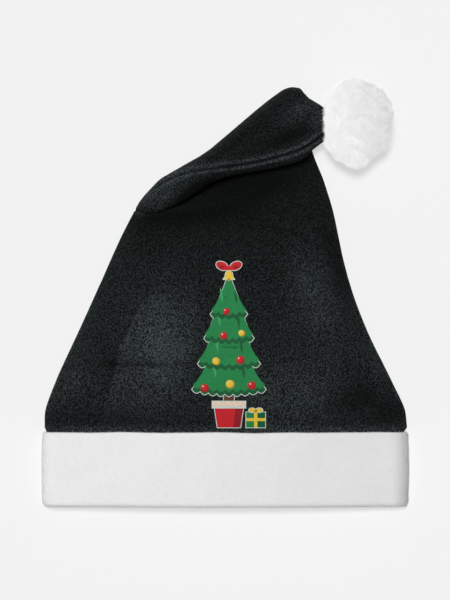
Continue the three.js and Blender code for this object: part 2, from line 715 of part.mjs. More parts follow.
function pompomGeometry() {
  const centre = planPoint(POMPOM_PLACE.x, POMPOM_PLACE.y).setZ(POMPOM_HEIGHT / 2 - FOOT_DEPTH);
  const ball = pompomBall().translate([centre.x, centre.y, centre.z]);
  const room = new THREE.BoxGeometry(2 * POMPOM_WIDTH, 2 * POMPOM_LENGTH, 2 * POMPOM_HEIGHT);
  room.translate(centre.x, centre.y, POMPOM_HEIGHT);
  const standing = ball.intersect(solidFrom(room));
  return geometryOf(standing.subtract(solidFrom(tipSocket())));
}

function piece(name, geometry, color, roughness) {
  const material = new THREE.MeshStandardMaterial({ color, roughness, metalness: 0 });
  const mesh = new THREE.Mesh(geometry, material);
  mesh.name = name;
  return mesh;
}

const hat = new THREE.Group();
hat.add(piece("crown", crownGeometry(), 0x23282a, 0.95));
hat.add(piece("cuff", cuffGeometry(), 0xe9e9eb, 0.9));
hat.add(piece("pompom", pompomGeometry(), 0xefeff0, 0.95));

// The frame's origin is on the floor, under the middle of the whole hat.
const box = new THREE.Box3().setFromObject(hat);
const centre = box.getCenter(new THREE.Vector3());
hat.children.forEach((mesh) => mesh.position.set(-centre.x, -centre.y, -box.min.z));

export default hat;
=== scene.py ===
"""The looks of a dark fleece santa hat that lies flat on its back with the tip folded over its front.

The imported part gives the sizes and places. Shapes are worked out in millimetres from the middle of the
cuff's top edge, with +Y towards the tip and +Z up, and are put into the frame in metres at the end.
"""

import json
import logging
import math
from collections.abc import Iterable
from dataclasses import dataclass, field, replace
from enum import Enum

import bpy
import numpy as np
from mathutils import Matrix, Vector
from mathutils.bvhtree import BVHTree
from mathutils.geometry import delaunay_2d_cdt

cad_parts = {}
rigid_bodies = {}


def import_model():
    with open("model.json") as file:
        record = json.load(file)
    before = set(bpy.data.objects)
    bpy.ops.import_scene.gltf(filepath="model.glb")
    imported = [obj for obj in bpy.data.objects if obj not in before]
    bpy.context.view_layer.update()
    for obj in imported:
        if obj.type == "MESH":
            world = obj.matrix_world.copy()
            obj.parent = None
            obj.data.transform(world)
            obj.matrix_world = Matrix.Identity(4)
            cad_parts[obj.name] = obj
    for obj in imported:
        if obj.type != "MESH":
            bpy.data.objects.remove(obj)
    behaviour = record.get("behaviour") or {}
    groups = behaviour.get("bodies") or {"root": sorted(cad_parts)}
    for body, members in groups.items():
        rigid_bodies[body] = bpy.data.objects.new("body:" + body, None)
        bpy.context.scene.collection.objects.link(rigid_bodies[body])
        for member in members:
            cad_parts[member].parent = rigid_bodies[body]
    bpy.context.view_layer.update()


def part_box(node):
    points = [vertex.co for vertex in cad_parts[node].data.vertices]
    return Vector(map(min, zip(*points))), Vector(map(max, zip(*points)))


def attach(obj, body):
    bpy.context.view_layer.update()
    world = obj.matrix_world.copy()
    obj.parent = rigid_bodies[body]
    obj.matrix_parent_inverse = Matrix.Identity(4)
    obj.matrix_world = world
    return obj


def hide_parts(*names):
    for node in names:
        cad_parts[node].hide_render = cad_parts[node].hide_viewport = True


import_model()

Array = np.ndarray
Colour = tuple[float, float, float]
Place = tuple[float, float]
Point = tuple[float, float, float]
Piece = bpy.types.Object
Socket = bpy.types.NodeSocket

LOG = logging.getLogger("santa_hat")
MM = 0.001
TINY = 1e-9
UP = np.array([0.0, 0.0, 1.0])
ACROSS = np.array([1.0, 0.0, 0.0])
# name of the mesh's tone of painted light and shade, mixed with brushed nap
SHADE_AND_NAP_TONE = "nap_tone"
WHITE = (1.0, 1.0, 1.0, 1.0)


class Layer(Enum):
    """The two layers of the lying hat."""

    FRONT = 1
    BACK = -1


class SectionKind(Enum):
    """What part of the crown a cross-section belongs to."""

    SEAT = "held by the cuff"
    BODY = "body"
    FOLD = "bend of the fold"
    FLAP = "folded tip"


class Ink(Enum):
    """Inks of the printed design, in the order in which the film holds them."""

    PALE = (0.62, 0.70, 0.64)
    LEAF = (0.012, 0.225, 0.062)
    LEAF_SHADE = (0.004, 0.105, 0.030)
    LEAF_LIGHT = (0.040, 0.345, 0.110)
    RED = (0.58, 0.012, 0.020)
    RED_SHADE = (0.30, 0.006, 0.012)
    GOLD = (0.82, 0.56, 0.045)
    GOLD_SHADE = (0.50, 0.27, 0.02)
    CREAM = (0.82, 0.66, 0.52)
    BROWN = (0.105, 0.045, 0.018)


@dataclass(frozen=True)
class HatFrame:
    """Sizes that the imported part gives, in millimetres."""

    cuff_width: float
    cuff_height: float
    crown_length: float
    origin: Place
    pompom_low: Point
    pompom_high: Point

    @classmethod
    def from_packed(cls) -> "HatFrame":
        """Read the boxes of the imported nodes.

        Returns:
            The sizes, with the place of the cuff's top edge in the frame.
        """
        (cuff_low, cuff_high), (_, crown_high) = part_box("cuff"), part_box("crown")
        pompom_low, pompom_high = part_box("pompom")
        middle = (cuff_low[0] + cuff_high[0]) / 2
        return cls(
            cuff_width=(cuff_high[0] - cuff_low[0]) / MM,
            cuff_height=(cuff_high[1] - cuff_low[1]) / MM,
            crown_length=(crown_high[1] - cuff_high[1]) / MM,
            origin=(middle / MM, cuff_high[1] / MM),
            pompom_low=tuple(value / MM for value in pompom_low),
            pompom_high=tuple(value / MM for value in pompom_high),
        )

    def plan(self, share: Place) -> Array:
        """Point of the plan at shares of the cuff's width and the crown's length.

        Args:
            share: The two shares.

        Returns:
            The point, at height 0.
        """
        return np.array([share[0] * self.cuff_width, share[1] * self.crown_length, 0.0])

    def placed(self, points: Array) -> Array:
        """Put points into the frame, in metres.

        Args:
            points: Points in millimetres from the cuff's top edge.

        Returns:
            The same points in the frame.
        """
        return (points + np.array([*self.origin, 0.0])) * MM

    def unplaced(self, points: Array) -> Array:
        """Bring points of the frame back to millimetres from the cuff's top edge."""
        return points / MM - np.array([*self.origin, 0.0])


def smooth_step(value: Array, low: float, high: float) -> Array:
    """Ease a value from 0 at low to 1 at high."""
    share = np.clip((value - low) / (high - low), 0.0, 1.0)
    return share * share * (3 - 2 * share)


def unit(directions: Array) -> Array:
    """Rows of directions, each brought to length 1."""
    return directions / np.linalg.norm(directions, axis=1, keepdims=True)


def curve_through(table: Array, steps: int) -> Array:
    """Rows on a smooth curve through the rows of a table, which never swings past them.

    Args:
        table: One row for each knot.
        steps: How many rows one row of the table gives.

    Returns:
        The rows, the last one of the table included.
    """
    gaps = np.diff(table, axis=0)
    product, total = gaps[:-1] * gaps[1:], gaps[:-1] + gaps[1:]
    slopes = np.concatenate([gaps[:1], 0 * product, gaps[-1:]])
    same_way = product > 0
    slopes[1:-1][same_way] = 2 * product[same_way] / total[same_way]
    place = np.linspace(0, len(gaps), len(gaps) * steps + 1)
    knot = np.minimum(place.astype(int), len(gaps) - 1)
    share = (place - knot)[:, None]
    bend = (3 * gaps[knot] - 2 * slopes[knot] - slopes[knot + 1]) * share**2
    bend = bend + (slopes[knot] + slopes[knot + 1] - 2 * gaps[knot]) * share**3
    return table[knot] + slopes[knot] * share + bend


def signed_distance(points: Array, path: Array) -> Array:
    """Distance in the plan from points to a path.

    Args:
        points: Points, of which only x and y count.
        path: The path's points.

    Returns:
        The distances, positive left of the path.
    """
    start, step = path[:-1, :2], np.diff(path[:, :2], axis=0)
    offset = points[:, None, :2] - start[None]
    share = np.clip((offset * step).sum(2) / (step**2).sum(1), 0.0, 1.0)
    apart = np.linalg.norm(offset - share[..., None] * step, axis=2)
    nearest = apart.argmin(axis=1)
    rows = np.arange(len(points))
    cross = step[nearest, 0] * offset[rows, nearest, 1] - step[nearest, 1] * offset[rows, nearest, 0]
    return np.where(cross < 0, -1.0, 1.0) * apart[rows, nearest]


@dataclass(frozen=True)
class Waves:
    """Smooth irregular unevenness over the plan, in millimetres."""

    height: float
    size: float
    seed: int
    count: int = 7
    spread: float = 0.35
    calm: float = 4.5

    def at(self, points: Array) -> Array:
        """Height of the waves at points.

        Args:
            points: Points in millimetres.

        Returns:
            One height for each point.
        """
        turns = np.random.default_rng(self.seed)
        total = np.zeros(points.shape[:-1])
        for _ in range(self.count):
            angle, phase, stretch = turns.uniform(0, math.tau, 3)
            pace = math.tau / (self.size * (1 + self.spread * math.sin(stretch)))
            along = points[..., 0] * math.cos(angle) + points[..., 1] * math.sin(angle)
            total += np.sin(pace * along + phase)
        return self.height * (total / self.calm)


def grid_normals(grid: Array, closed_rows: bool = False) -> Array:
    """Outward directions of a grid of points whose columns close on themselves.

    Args:
        grid: Points by row and column.
        closed_rows: Whether the last row meets the first too.

    Returns:
        Unit directions, by row and column.
    """
    across = np.roll(grid, -1, axis=1) - np.roll(grid, 1, axis=1)
    along = np.gradient(grid, axis=0)
    if closed_rows:
        along = np.roll(grid, -1, axis=0) - np.roll(grid, 1, axis=0)
    normal = np.cross(across, along)
    return normal / np.maximum(np.linalg.norm(normal, axis=2, keepdims=True), TINY)


def grid_faces(
    rows: int, columns: int, first: int = 0, closed_rows: bool = False, flip: bool = False
) -> Array:
    """Four-sided faces of a grid whose columns close on themselves.

    Args:
        rows: How many rows the grid has.
        columns: How many columns it has.
        first: Index of its first point.
        closed_rows: Whether the last row meets the first.
        flip: Whether the faces look the other way.

    Returns:
        The faces' point indices.
    """
    i, j = np.meshgrid(np.arange(rows if closed_rows else rows - 1), np.arange(columns), indexing="ij")
    up, side = (i + 1) % rows, (j + 1) % columns
    corners = [i * columns + j, i * columns + side, up * columns + side, up * columns + j]
    faces = np.stack(corners, axis=-1).reshape(-1, 4) + first
    return faces[:, ::-1] if flip else faces


def new_piece(name: str, points: Array, faces: list, smooth: bool = True) -> Piece:
    """Make a mesh object from points in metres.

    Args:
        name: The piece's name.
        points: Its points, in the frame.
        faces: Lists of point indices.
        smooth: Whether its faces are shaded smoothly.

    Returns:
        The new object, linked to the scene.
    """
    mesh = bpy.data.meshes.new(name)
    mesh.from_pydata(points.tolist(), [], faces)
    mesh.validate()
    mesh.polygons.foreach_set("use_smooth", [smooth] * len(mesh.polygons))
    mesh.update()
    piece = bpy.data.objects.new(name, mesh)
    bpy.context.scene.collection.objects.link(piece)
    return piece


@dataclass(frozen=True)
class Section:
    """One cross-section of the crown: a middle line with a layer on each side of it.

    Attributes:
        kind: What part of the crown it belongs to.
        left: Left end of its middle line.
        right: Right end of its middle line.
        to_front: Direction from the middle line to the front layer.
        rise: How far the front layer lies from it.
        fall: How far the back layer lies from it.
        roll: How far the rolled edges reach in.
        dome: How much more the front layer rises in the middle.
        crest: How much more the back layer rises in the middle.
        swell: How much more the back layer rises away from the fold.
        lift: How far the middle line rises away from the fold.
        edge_relief: Share of the side seams' full height.
        seam_relief: Share of the folded tip's seam's full height.
        settled: Share in which the rolled edges follow the folded tip's outline.
        sine: Sine of the bend's angle, 0 off the bend.
    """

    kind: SectionKind
    left: Array
    right: Array
    to_front: Array
    rise: float
    fall: float
    roll: float
    dome: float = 0.0
    crest: float = 0.0
    swell: float = 0.0
    lift: float = 0.0
    edge_relief: float = 0.0
    seam_relief: float = 0.0
    settled: float = 1.0
    sine: float = 0.0


@dataclass(frozen=True)
class Spot:
    """A soft spot of the cloth, such as a dent, or a patch of brushed nap mixed with painted light and
    shade.

    Attributes:
        part: What part of the crown it lies on.
        place: Its middle, at shares of the cuff's width and the crown's length.
        long: How far it reaches along its length, in millimetres.
        wide: How far it reaches across.
        turn: Degrees from +X to its length.
        amount: Its depth in millimetres, or its change of tone.
    """

    part: SectionKind
    place: Place
    long: float
    wide: float
    turn: float
    amount: float

    def amount_at(self, points: Array, hat: HatFrame) -> Array:
        """How much of the spot points get: the depth of a dent, or the change of a tone.

        Args:
            points: Points of the crown.
            hat: The hat's sizes.

        Returns:
            One amount for each point.
        """
        turn = math.radians(self.turn)
        offset = points - hat.plan(self.place)
        along = offset[..., 0] * math.cos(turn) + offset[..., 1] * math.sin(turn)
        across = offset[..., 1] * math.cos(turn) - offset[..., 0] * math.sin(turn)
        return self.amount * np.exp(-((along / self.long) ** 2) - (across / self.wide) ** 2)


@dataclass(frozen=True)
class PaintedBand:
    """Painted light, or painted shade where the amount is negative, beside a line of the cloth, strongest
    on it.
    """

    amount: float
    reach: float

    def at(self, distance: Array) -> Array:
        """Change of tone at distances in millimetres from the line."""
        return self.amount * np.exp(-((distance / self.reach) ** 2))


@dataclass(frozen=True)
class CrownSurface:
    """The crown's surfaces, by row from the mouth to the tip and by column round the hat.

    Attributes:
        outer: Points of the outer surface.
        inner: Points of the surface inside the wall.
        flap_rows: Which rows of the outer surface are the folded tip's.
        ridges: Height of the seams on the outer surface.
    """

    outer: Array
    inner: Array
    flap_rows: Array
    ridges: Array


BODY = SectionKind.BODY
FLAP = SectionKind.FLAP


@dataclass
class CrownShape:
    """The crown's surface, from the mouth to the tip and round the hat, in millimetres."""

    hat: HatFrame

    # the wall, and how it is sewn into the cuff
    wall: float = 2.0
    pressed_wall: float = 1.3
    leaf: float = 2.4
    sewing_gap: float = 0.5
    layer_gap: float = 0.5
    seam_depth: float = 14.0

    # the body: height of its edges, rise and dome of its front, and its rolled edges
    edge_height: float = 9.0
    shoulder_rise: float = 8.0
    front_dome: float = 10.0
    dome_power: float = 1.5
    edge_roll: float = 14.0
    cuff_roll: float = 11.0
    cuff_bulge: float = 0.8

    # the fold and the folded tip
    fold_radius: float = 6.0
    folded_half: float = 4.3
    folded_roll: float = 8.0
    bend_roll: float = 13.0
    tip_roll: float = 9.0
    flap_roll_share: float = 0.12
    most_roll_share: float = 0.49
    flap_puff: float = 3.6
    flap_lift: float = 2.6
    flap_ease: float = 22.0
    settle_share: float = 0.14
    tip_lift: float = 6.0

    # ridges and grooves of the sewn seams, and where they fade in
    seam_ridge: float = 1.25
    seam_groove: float = 1.1
    ridge_place: float = 2.5
    ridge_width: float = 1.5
    groove_width: float = 0.85
    seam_fade: Place = (3.0, 14.0)
    fold_seam: float = 0.8
    fold_seam_start: Place = (0.35, 0.6)

    # slight unevenness away from the cuff, and the wall's thin share at the hinge of the fold
    drape_start: Place = (4.0, 40.0)
    drape_waves: tuple[Waves, ...] = (Waves(0.45, 46.0, 3), Waves(0.16, 17.0, 5))
    hinge_wall: float = 0.35
    hinge_reach: float = 12.0

    # rows and columns of the surface; the last bent rows of the body lead into the fold
    seat_rows: int = 8
    body_steps: int = 11
    bent_rows: int = 4
    fold_rows: int = 44
    flap_steps: int = 6
    solid_rows: int = 3
    inner_stride: int = 3
    reach_steps: int = 6
    corner_steps: int = 22
    span_steps: int = 110
    front_columns: int = 156
    back_columns: int = 144
    bunching: float = 0.06

    # left and right end of each cross-section, then flatness, dome, raised underside and edge seam
    body_rows: tuple = (
        ((-0.493, 0.014), (0.496, 0.014), 0, 1.1, 0.9, 0.3),
        ((-0.489, 0.057), (0.49, 0.057), 0, 1.18, 0.3, 1),
        ((-0.458, 0.15), (0.45, 0.15), 0, 1.28, 0, 1),
        ((-0.398, 0.289), (0.386, 0.289), 0, 1.3, 0, 1),
        ((-0.339, 0.429), (0.337, 0.429), 0, 1.2, 0, 1),
        ((-0.29, 0.545), (0.309, 0.55), 0, 1, 0, 1),
        ((-0.2545, 0.626), (0.288, 0.661), 0.15, 0.72, 0, 0.4),
        ((-0.2522, 0.632), (0.269, 0.727), 0.5, 0.4, 0, 0),
        ((-0.2492, 0.6385), (0.234, 0.829), 0.92, 0.03, 0, 0),
        ((-0.245, 0.642), (0.214, 0.98), 1, 0, 0, 0),
    )
    # left and right end, then puff, air under it, raised tip and seam
    flap_rows: tuple = (
        ((-0.232, 0.639), (0.214, 0.98), 0, 0, 0, 0.8),
        ((-0.214, 0.631), (0.216, 0.978), 0.45, 0.6, 0, 0.9),
        ((-0.186, 0.634), (0.219, 0.975), 0.9, 1, 0, 1),
        ((-0.15, 0.648), (0.222, 0.971), 1, 0.9, 0, 1),
        ((-0.112, 0.668), (0.225, 0.968), 0.9, 0.7, 0, 1),
        ((-0.07, 0.698), (0.229, 0.964), 0.8, 0.5, 0, 1),
        ((-0.03, 0.724), (0.234, 0.961), 0.8, 0.4, 0, 1),
        ((0.024, 0.742), (0.24, 0.957), 0.9, 0.3, 0.05, 1),
        ((0.083, 0.753), (0.248, 0.952), 1, 0.1, 0.12, 1),
        ((0.149, 0.766), (0.257, 0.946), 1, 0, 0.25, 1),
        ((0.206, 0.785), (0.268, 0.937), 0.9, 0, 0.45, 1),
        ((0.239, 0.817), (0.28, 0.928), 0.7, 0, 0.65, 0.9),
        ((0.269, 0.843), (0.292, 0.917), 0.4, 0, 0.85, 0.6),
        ((0.299, 0.864), (0.307, 0.901), 0.1, 0, 1, 0.2),
    )
    # place along the fold, and the share of the bend's full reach there
    fold_reach: tuple[Place, ...] = (
        (0, 0.36), (0.03, 0.52), (0.06, 0.64), (0.095, 0.76), (0.135, 0.88), (0.18, 0.95),
        (0.23, 0.935), (0.29, 0.86), (0.35, 0.77), (0.41, 0.68), (0.46, 0.67), (0.51, 0.73),
        (0.6, 0.85), (0.69, 0.98), (0.78, 1.1), (0.85, 1.16), (0.91, 1.17), (0.96, 1.08), (1, 0.75),
    )
    seam_path: tuple[Place, ...] = (
        (-0.216, 0.684), (-0.2, 0.7), (-0.163, 0.725), (-0.127, 0.742), (-0.088, 0.754),
        (-0.047, 0.759), (0.001, 0.766), (0.053, 0.772), (0.113, 0.785), (0.165, 0.8),
        (0.213, 0.819), (0.245, 0.841), (0.265, 0.855), (0.299, 0.877),
    )
    pleat_path: tuple[Place, ...] = (
        (-0.331, 0.069), (-0.298, 0.173), (-0.29, 0.237), (-0.265, 0.295), (-0.227, 0.368),
    )
    dents: tuple[Spot, ...] = (
        Spot(BODY, (-0.295, 0.159), 34, 11, 68, 3),
        Spot(BODY, (-0.178, 0.252), 26, 22, 80, -2.2),
        Spot(BODY, (0.4, 0.069), 34, 20, 25, 3.5),
        Spot(BODY, (0.253, 0.426), 40, 13, 110, -2),
        Spot(BODY, (0.135, 0.136), 42, 26, 0, -1.8),
        Spot(BODY, (-0.43, 0.1), 16, 12, 60, -1.2),
        Spot(FLAP, (0.208, 0.885), 17, 7, 25, 2.4),
        Spot(FLAP, (0.116, 0.868), 20, 8, 25, 1.6),
    )
    # packing creases and the fine pleats beside them
    creases: tuple[Spot, ...] = (
        Spot(BODY, (-0.235, 0.196), 44, 1.7, 2, 0.9),
        Spot(BODY, (-0.235, 0.21), 40, 4.5, 2, -0.45),
        Spot(BODY, (-0.29, 0.2), 30, 4.5, 66, 0.7),
        Spot(BODY, (-0.262, 0.19), 34, 6, 70, -0.6),
        Spot(BODY, (0.31, 0.2), 34, 8, 120, -0.7),
    )

    allowance: float = field(init=False)
    seat_half: float = field(init=False)
    seam: Array = field(init=False)
    pleat: Array = field(init=False)
    flap_table: Array = field(init=False)
    edges: list[Array] = field(init=False)

    def __post_init__(self) -> None:
        """Work out what the tables and sizes give."""
        self.allowance = self.leaf + self.sewing_gap
        self.seat_half = self.hat.cuff_width / 2 - self.cuff_bulge - self.allowance
        self.seam, self.pleat = self.path(self.seam_path), self.path(self.pleat_path)
        self.flap_table = curve_through(self.table(self.flap_rows), self.flap_steps)
        self.edges = [self.path(self.flap_table[:, side]) for side in (slice(0, 2), slice(2, 4))]

    def path(self, shares: Iterable[Place]) -> Array:
        """Points of the plan at rows of shares."""
        return np.array([self.hat.plan(share) for share in shares])

    @staticmethod
    def table(rows: tuple) -> Array:
        """Rows of a table as plain numbers, with both ends' shares first."""
        return np.array([[*row[0], *row[1], *row[2:]] for row in rows], dtype=float)

    def seat_section(self, y: float, grow: float) -> Section:
        """Cross-section where the cuff holds the crown.

        Args:
            y: Its place, from the cuff's top edge.
            grow: How far its outline is moved out.

        Returns:
            The cross-section.
        """
        swell = self.cuff_bulge * (1 - (2 * y / self.hat.cuff_height + 1) ** 2)
        half = self.seat_half + grow + swell
        return Section(
            kind=SectionKind.SEAT,
            left=np.array([-half, y, self.edge_height]),
            right=np.array([half, y, self.edge_height]),
            to_front=UP,
            rise=self.shoulder_rise + grow,
            fall=self.edge_height - self.allowance + grow,
            roll=self.cuff_roll + grow,
            dome=self.front_dome,
        )

    def body_section(self, row: Array) -> Section:
        """Cross-section of the body.

        Args:
            row: A row of the body's smoothed table.

        Returns:
            The cross-section.
        """
        flat, dome, raised, relief = row[4:]
        edge = self.edge_height + (self.folded_half - self.edge_height) * flat
        return Section(
            kind=BODY,
            left=self.hat.plan(row[0:2]) + edge * UP,
            right=self.hat.plan(row[2:4]) + edge * UP,
            to_front=UP,
            rise=self.shoulder_rise + (self.folded_half - self.shoulder_rise) * flat,
            fall=edge - raised * self.allowance,
            roll=self.edge_roll + (self.folded_roll - self.edge_roll) * flat,
            dome=dome * self.front_dome,
            edge_relief=relief,
        )

    def fold_ends(self) -> tuple[Array, Array, Array, Array]:
        """Ends of the bend.

        Returns:
            Its right end, its left ends on the body and on the folded tip, and its outward direction.
        """
        right = self.hat.plan(self.body_rows[-1][1])
        last_left = self.hat.plan(self.body_rows[-1][0])
        first_left = self.hat.plan(self.flap_rows[0][0])
        along = (right - last_left) / np.linalg.norm(right - last_left)
        return right, last_left, first_left, np.array([-along[1], along[0], 0.0])

    def fold_section(self, turned: float) -> Section:
        """Cross-section round the bend.

        Args:
            turned: How far round, from 0 on the body to 1 on the folded tip.

        Returns:
            The cross-section.
        """
        right, last_left, first_left, outward = self.fold_ends()
        angle = math.pi * turned
        lift = self.folded_half + self.fold_radius * (1 - math.cos(angle))
        shift = outward * self.fold_radius * math.sin(angle) + lift * UP
        return Section(
            kind=SectionKind.FOLD,
            left=last_left + (first_left - last_left) * turned + shift,
            right=right + shift,
            to_front=UP * math.cos(angle) - outward * math.sin(angle),
            rise=self.folded_half,
            fall=self.folded_half,
            roll=self.folded_roll + (self.bend_roll - self.folded_roll) * math.sin(angle) + turned,
            seam_relief=self.fold_seam * float(smooth_step(np.array(turned), *self.fold_seam_start)),
            sine=math.sin(angle),
        )

    def flap_section(self, number: int) -> Section:
        """Cross-section of the folded tip.

        Args:
            number: A row of its smoothed table.

        Returns:
            The cross-section.
        """
        row = self.flap_table[number]
        puff, air, tip, relief = row[4:]
        height = (self.folded_half + 2 * self.fold_radius + tip * self.tip_lift) * UP
        share = number / (len(self.flap_table) - 1)
        return Section(
            kind=FLAP,
            left=self.hat.plan(row[0:2]) + height,
            right=self.hat.plan(row[2:4]) + height,
            to_front=-UP,
            rise=self.folded_half,
            fall=self.folded_half,
            roll=self.tip_roll,
            crest=puff * self.flap_puff / 2,
            swell=puff * self.flap_puff / 2,
            lift=air * self.flap_lift,
            seam_relief=relief,
            settled=float(smooth_step(np.array(share), 0, self.settle_share)),
        )

    def reach_at(self, along: Array) -> Array:
        """Share of the bend's full reach at places along the fold."""
        knots = curve_through(np.array(self.fold_reach), self.reach_steps)
        return np.interp(along, knots[:, 0], knots[:, 1])

    def outline(self, section: Section) -> Array:
        """Closed outline of a cross-section, from its left end over the front layer and back.

        Args:
            section: The cross-section.

        Returns:
            Its points. The second half of them is the back layer.
        """
        length = np.linalg.norm(section.right - section.left)
        roll_share = min(section.roll / length, self.most_roll_share)
        if section.kind is FLAP:
            roll_share = self.flap_roll_share
        corner = roll_share * (1 - np.cos(np.linspace(0, math.pi / 2, self.corner_steps, endpoint=False)))
        span = np.linspace(roll_share, 1 - roll_share, self.span_steps + 1)
        along = np.concatenate([corner, span, 1 - corner[::-1]])
        centre = section.left + along[:, None] * (section.right - section.left)
        margin = np.minimum(along, 1 - along) * length
        ease = np.zeros(len(along))
        if section.kind is FLAP:
            right, _, _, outward = self.fold_ends()
            ease = smooth_step((right - centre) @ outward, 0, self.flap_ease)
            centre = centre + (section.lift * ease)[:, None] * UP
            apart = np.min([np.abs(signed_distance(centre, edge)) for edge in self.edges], axis=0)
            margin = margin + section.settled * (apart - margin)
            margin[[0, -1]] = 0.0
        inset = np.minimum(margin / section.roll, 1)
        edge = np.sqrt(1 - (1 - inset) ** 2)
        crown = (4 * along * (1 - along)) ** self.dome_power
        front = self.layer_points(section, along, centre, section.rise * edge + section.dome * crown)
        if section.kind is FLAP:
            crown = crown * ease
        fall = section.fall + section.swell * ease
        back = self.layer_points(section, along, centre, -(fall * edge + section.crest * crown))
        return np.concatenate([front[:-1], back[:0:-1]])

    def layer_points(self, section: Section, along: Array, centre: Array, rise: Array) -> Array:
        """Points of one layer of a cross-section.

        Args:
            section: The cross-section.
            along: Places along its middle line, as shares.
            centre: Points of the middle line there.
            rise: How far the layer lies over them.

        Returns:
            The layer's points.
        """
        points = centre + rise[:, None] * section.to_front
        if section.sine:
            out = (self.fold_radius - rise) * section.sine * (self.reach_at(along) - 1)
            points = points + out[:, None] * self.fold_ends()[3]
        return points

    def bunched(self, count: int) -> Array:
        """Places from 0 up to 1, closer together at both ends."""
        place = np.linspace(0, 1, count, endpoint=False)
        return place - self.bunching * np.sin(2 * math.pi * place)

    def columns(self, section: Section, guide: Section | None = None) -> tuple[Array, Array, Array]:
        """Points of a cross-section in the columns of the whole surface.

        Args:
            section: The cross-section.
            guide: The cross-section along which the columns are spaced out, itself by default.

        Returns:
            The points, their distance along the outline from the nearest edge, and their layer.
        """
        outline = self.outline(section)
        guide_outline = outline if guide is None else self.outline(guide)
        closed = np.vstack([guide_outline, guide_outline[:1]])
        lengths = np.concatenate([[0], np.cumsum(np.linalg.norm(np.diff(closed, axis=0), axis=1))])
        total, right_end = lengths[-1], lengths[len(outline) // 2]
        front = right_end * self.bunched(self.front_columns)
        back = right_end + (total - right_end) * self.bunched(self.back_columns)
        place = np.concatenate([front, back])
        index = np.interp(place, lengths, np.arange(len(lengths)))
        step = np.minimum(index.astype(int), len(outline) - 1)
        share = (index - step)[:, None]
        points = outline[step] * (1 - share) + outline[(step + 1) % len(outline)] * share
        from_edge = np.min([place, np.abs(place - right_end), total - place], axis=0)
        is_front = np.arange(len(place)) < self.front_columns
        return points, from_edge, np.where(is_front, Layer.FRONT.value, Layer.BACK.value)

    def seam_height(self, distance: Array) -> Array:
        """Height of a sewn seam over the cloth: a ridge on each side of a narrow groove."""
        ridge = np.exp(-(((np.abs(distance) - self.ridge_place) / self.ridge_width) ** 2))
        return self.seam_ridge * ridge - self.seam_groove * np.exp(-((distance / self.groove_width) ** 2))

    def sections(self) -> list[Section]:
        """Cross-sections of the whole crown.

        Returns:
            The cross-sections, from the mouth to the tip.
        """
        seats = [self.seat_section(y, 0) for y in np.linspace(-self.seam_depth, 0, self.seat_rows)]
        rows = curve_through(self.table(self.body_rows), self.body_steps)
        body = [self.body_section(row) for row in rows]
        turns = np.arange(1, self.fold_rows) / self.fold_rows
        fold = [self.fold_section(float(turned)) for turned in turns]
        return [*seats, *body, *fold, *(self.flap_section(i) for i in range(len(self.flap_table)))]

    @staticmethod
    def rows_of(sections: list[Section], *kinds: SectionKind) -> Array:
        """Which of the cross-sections are of some kinds."""
        return np.array([section.kind in kinds for section in sections])

    def spots_at(self, spots: tuple[Spot, ...], points: Array, flap: Array, body: Array) -> Array:
        """Sum of the spots' amounts over the surface.

        Args:
            spots: The spots.
            points: The surface's points, by row and column.
            flap: Which rows are the folded tip's.
            body: Which rows are the body's.

        Returns:
            One amount for each point.
        """
        total = np.zeros(points.shape[:2])
        for spot in spots:
            rows = flap if spot.part is FLAP else body
            total[rows] += spot.amount_at(points[rows], self.hat)
        return total

    def surfaces(self) -> CrownSurface:
        """Shape the crown's wall.

        Returns:
            Its surfaces, with the folded tip's rows and the height of the seams on it.
        """
        sections = self.sections()
        parts = [self.columns(section) for section in sections]
        smooth = np.array([part[0] for part in parts])
        normals = grid_normals(smooth)
        up = np.maximum(normals[..., 2], 0)
        flap = self.rows_of(sections, SectionKind.FOLD, FLAP)
        seat = self.rows_of(sections, SectionKind.SEAT)
        depth = self.spots_at((*self.dents, *self.creases), smooth, flap, ~(flap | seat))
        smooth = smooth - (depth * up)[..., None] * normals
        proud = self.relief(sections, parts, smooth) + self.drape(smooth, seat, up)
        outer = smooth + proud[..., None] * normals
        outer[..., 2] = np.maximum(outer[..., 2], 0.0)
        inner = self.inner_surface(sections, parts, smooth, normals)
        return CrownSurface(outer, inner, flap, self.relief(sections, parts, outer))

    def drape(self, smooth: Array, seat: Array, up: Array) -> Array:
        """Slight unevenness of the cloth where it faces up, away from the cuff.

        Args:
            smooth: The surface's points, by row and column.
            seat: Which rows the cuff holds.
            up: How much the surface faces up.

        Returns:
            Its height over the surface.
        """
        easing = smooth_step(smooth[..., 1], *self.drape_start) * up
        easing[seat] = 0
        return easing * sum(waves.at(smooth) for waves in self.drape_waves)

    def relief(self, sections: list[Section], parts: list[tuple], smooth: Array) -> Array:
        """Height that the seams add to the surface.

        Args:
            sections: The cross-sections.
            parts: Their points, distances from the edge and layers.
            smooth: The surface's points, by row and column.

        Returns:
            The height, by row and column.
        """
        height = np.zeros(smooth.shape[:2])
        seam_start = self.seam[0, 0]
        for i, (section, (_, from_edge, layer)) in enumerate(zip(sections, parts)):
            if section.edge_relief > 0:
                height[i] += section.edge_relief * self.seam_height(from_edge)
            if section.seam_relief > 0:
                back = layer == Layer.BACK.value
                distance = signed_distance(smooth[i][back], self.seam)
                fade = smooth_step(smooth[i][back][:, 0] - seam_start, *self.seam_fade)
                height[i][back] += section.seam_relief * fade * self.seam_height(distance)
        return height

